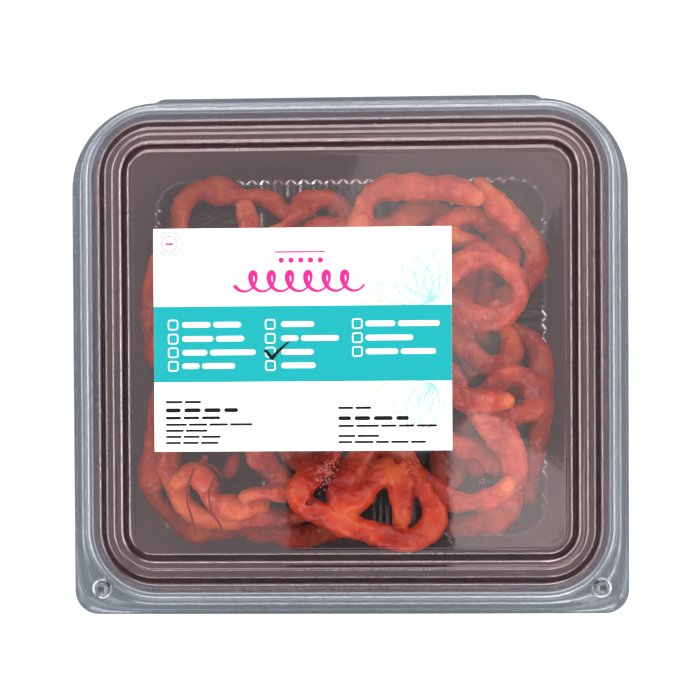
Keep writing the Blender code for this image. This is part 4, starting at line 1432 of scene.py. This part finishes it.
# ---- Floor, light and camera ----------------------------------------------------------------
@dataclass(frozen=True)
class SoftBox:
    """A rectangular soft light.

    Attributes:
        name: Its name.
        place: Its middle.
        size: Its width and height.
        radiance: How bright its face is.
        colour: Its colour.
    """

    name: str
    place: tuple[float, float, float]
    size: tuple[float, float]
    radiance: float
    colour: Colour = (1.0, 1.0, 1.0)

    def build(self) -> None:
        """Make the light, facing the box; power = pi * area * radiance."""
        light = bpy.data.lights.new(self.name, "AREA")
        light.shape = "RECTANGLE"
        light.size, light.size_y = self.size
        light.energy = math.pi * self.size[0] * self.size[1] * self.radiance
        light.color = self.colour
        thing = new_object(self.name, light)
        thing.location = self.place
        thing.rotation_euler = (-thing.location).to_track_quat("-Z", "Y").to_euler()


@dataclass(frozen=True)
class Studio:
    """A pale floor, soft light from above and a long lens that looks almost straight down.

    Attributes:
        floor_half: Half the floor's side.
        camera_place: Where the lens is.
        camera_turn: Its turn about X, Y and Z in degrees, from looking straight down.
        lens: Focal length in mm.
        sensor: The sensor's width in mm.
        shift: The lens's shift, in sensor widths.
        boxes: The soft lights.
        flag: A small dark plate over the box, from its lowest to its highest x and y, that the
            lid mirrors and the camera doesn't see.
        flag_z: Height of the flag's top.
    """

    floor_half: float = 4.0
    camera_place: tuple[float, float, float] = (0.0051, -0.0239, 0.5202)
    camera_turn: tuple[float, float, float] = (-0.66, 1.83, -0.33)
    lens: float = 73.93
    sensor: float = 36.0
    shift: tuple[float, float] = (0.0442, 0.1338)
    boxes: tuple[SoftBox, ...] = (
        SoftBox("back_ceiling", (0.05, 0.80, 1.05), (1.5, 0.9), 2.3, (1.0, 0.99, 0.97)),
        SoftBox("ceiling_back", (0.077, 0.166, 1.05), (0.20, 0.25), 0.38),
        SoftBox("ceiling_front", (0.141, -0.10, 1.05), (0.13, 0.15), 0.68),
        SoftBox("left_box", (-1.05, 0.0, 0.95), (1.5, 0.8), 2.2, (0.90, 0.96, 1.0)),
        SoftBox("right_box", (1.05, 0.0, 0.95), (1.5, 0.8), 2.2, (1.0, 0.98, 0.95)),
        SoftBox("front_box", (0.0, -1.15, 0.9), (1.5, 0.8), 1.9, (0.95, 0.98, 1.0)),
        SoftBox("left_strip", (-0.98, 0.1, 0.86), (1.2, 0.12), 14.0, (0.90, 0.96, 1.0)),
        SoftBox("right_strip", (0.98, 0.1, 0.86), (1.2, 0.12), 10.0, (1.0, 0.96, 0.93)),
        SoftBox("front_strip", (0.0, -1.05, 0.82), (1.2, 0.12), 8.0),
        SoftBox("front_right_strip", (0.62, -0.95, 0.86), (0.9, 0.08), 24.0),
        SoftBox("back_strip", (0.0, 1.5, 0.8), (1.2, 0.16), 16.0))
    flag: tuple[float, float, float, float] = (-0.044, -0.114, 0.058, -0.040)
    flag_z: float = 0.5

    def stage_plate(self, name: str, corners: tuple[float, float, float, float], top: float,
                    thick: float, colour: float) -> bpy.types.Object:
        """A plain plate of the stage, from its lowest to its highest x and y."""
        x0, y0, x1, y1 = corners
        piece = PieceBuilder(name)
        piece.add_prism(np.array(((x0, y0), (x1, y0), (x1, y1), (x0, y1))), top - thick, top)
        board = NodeBoard(name)
        shader = board.add("BsdfPrincipled", Base_Color=(colour, colour, colour, 1), Roughness=0.7)
        thing = piece.build(board.finish(shader), smooth=False)
        return thing

    def surround(self) -> None:
        """An even pale surround."""
        world = bpy.data.worlds.new("surround")
        world.use_nodes = True
        world.node_tree.nodes["Background"].inputs["Color"].default_value = (0.98, 0.985, 1.0, 1)
        world.node_tree.nodes["Background"].inputs["Strength"].default_value = 0.5
        bpy.context.scene.world = world

    def camera(self) -> None:
        """A long lens above the box."""
        data = bpy.data.cameras.new("camera")
        data.sensor_width = self.sensor
        data.lens = self.lens
        data.shift_x, data.shift_y = self.shift
        thing = new_object("camera", data)
        thing.location = self.camera_place
        thing.rotation_euler = [math.radians(turn) for turn in self.camera_turn]
        bpy.context.scene.camera = thing

    def build(self) -> None:
        """Set the whole studio up."""
        self.camera()
        self.surround()
        for box in self.boxes:
            box.build()
        half = self.floor_half
        self.stage_plate("studio_floor", (-half, -half, half, half), -0.05 * MM, 10 * MM, 0.9)
        flag = self.stage_plate("studio_flag", self.flag, self.flag_z, 2 * MM, 0.01)
        flag.visible_camera = False
        scene = bpy.context.scene
        scene.view_settings.view_transform = "Standard"
        scene.cycles.transparent_max_bounces = 32


def main() -> None:
    """Build the studio, the box, the jalebi and the label."""
    logging.basicConfig(level=logging.INFO, format="%(name)s: %(message)s")
    Studio().build()
    Tray().build()
    Lid().build()
    JalebiHeap().build()
    LidSyrup().build()
    Label().build()


if __name__ == "__main__":
    main()
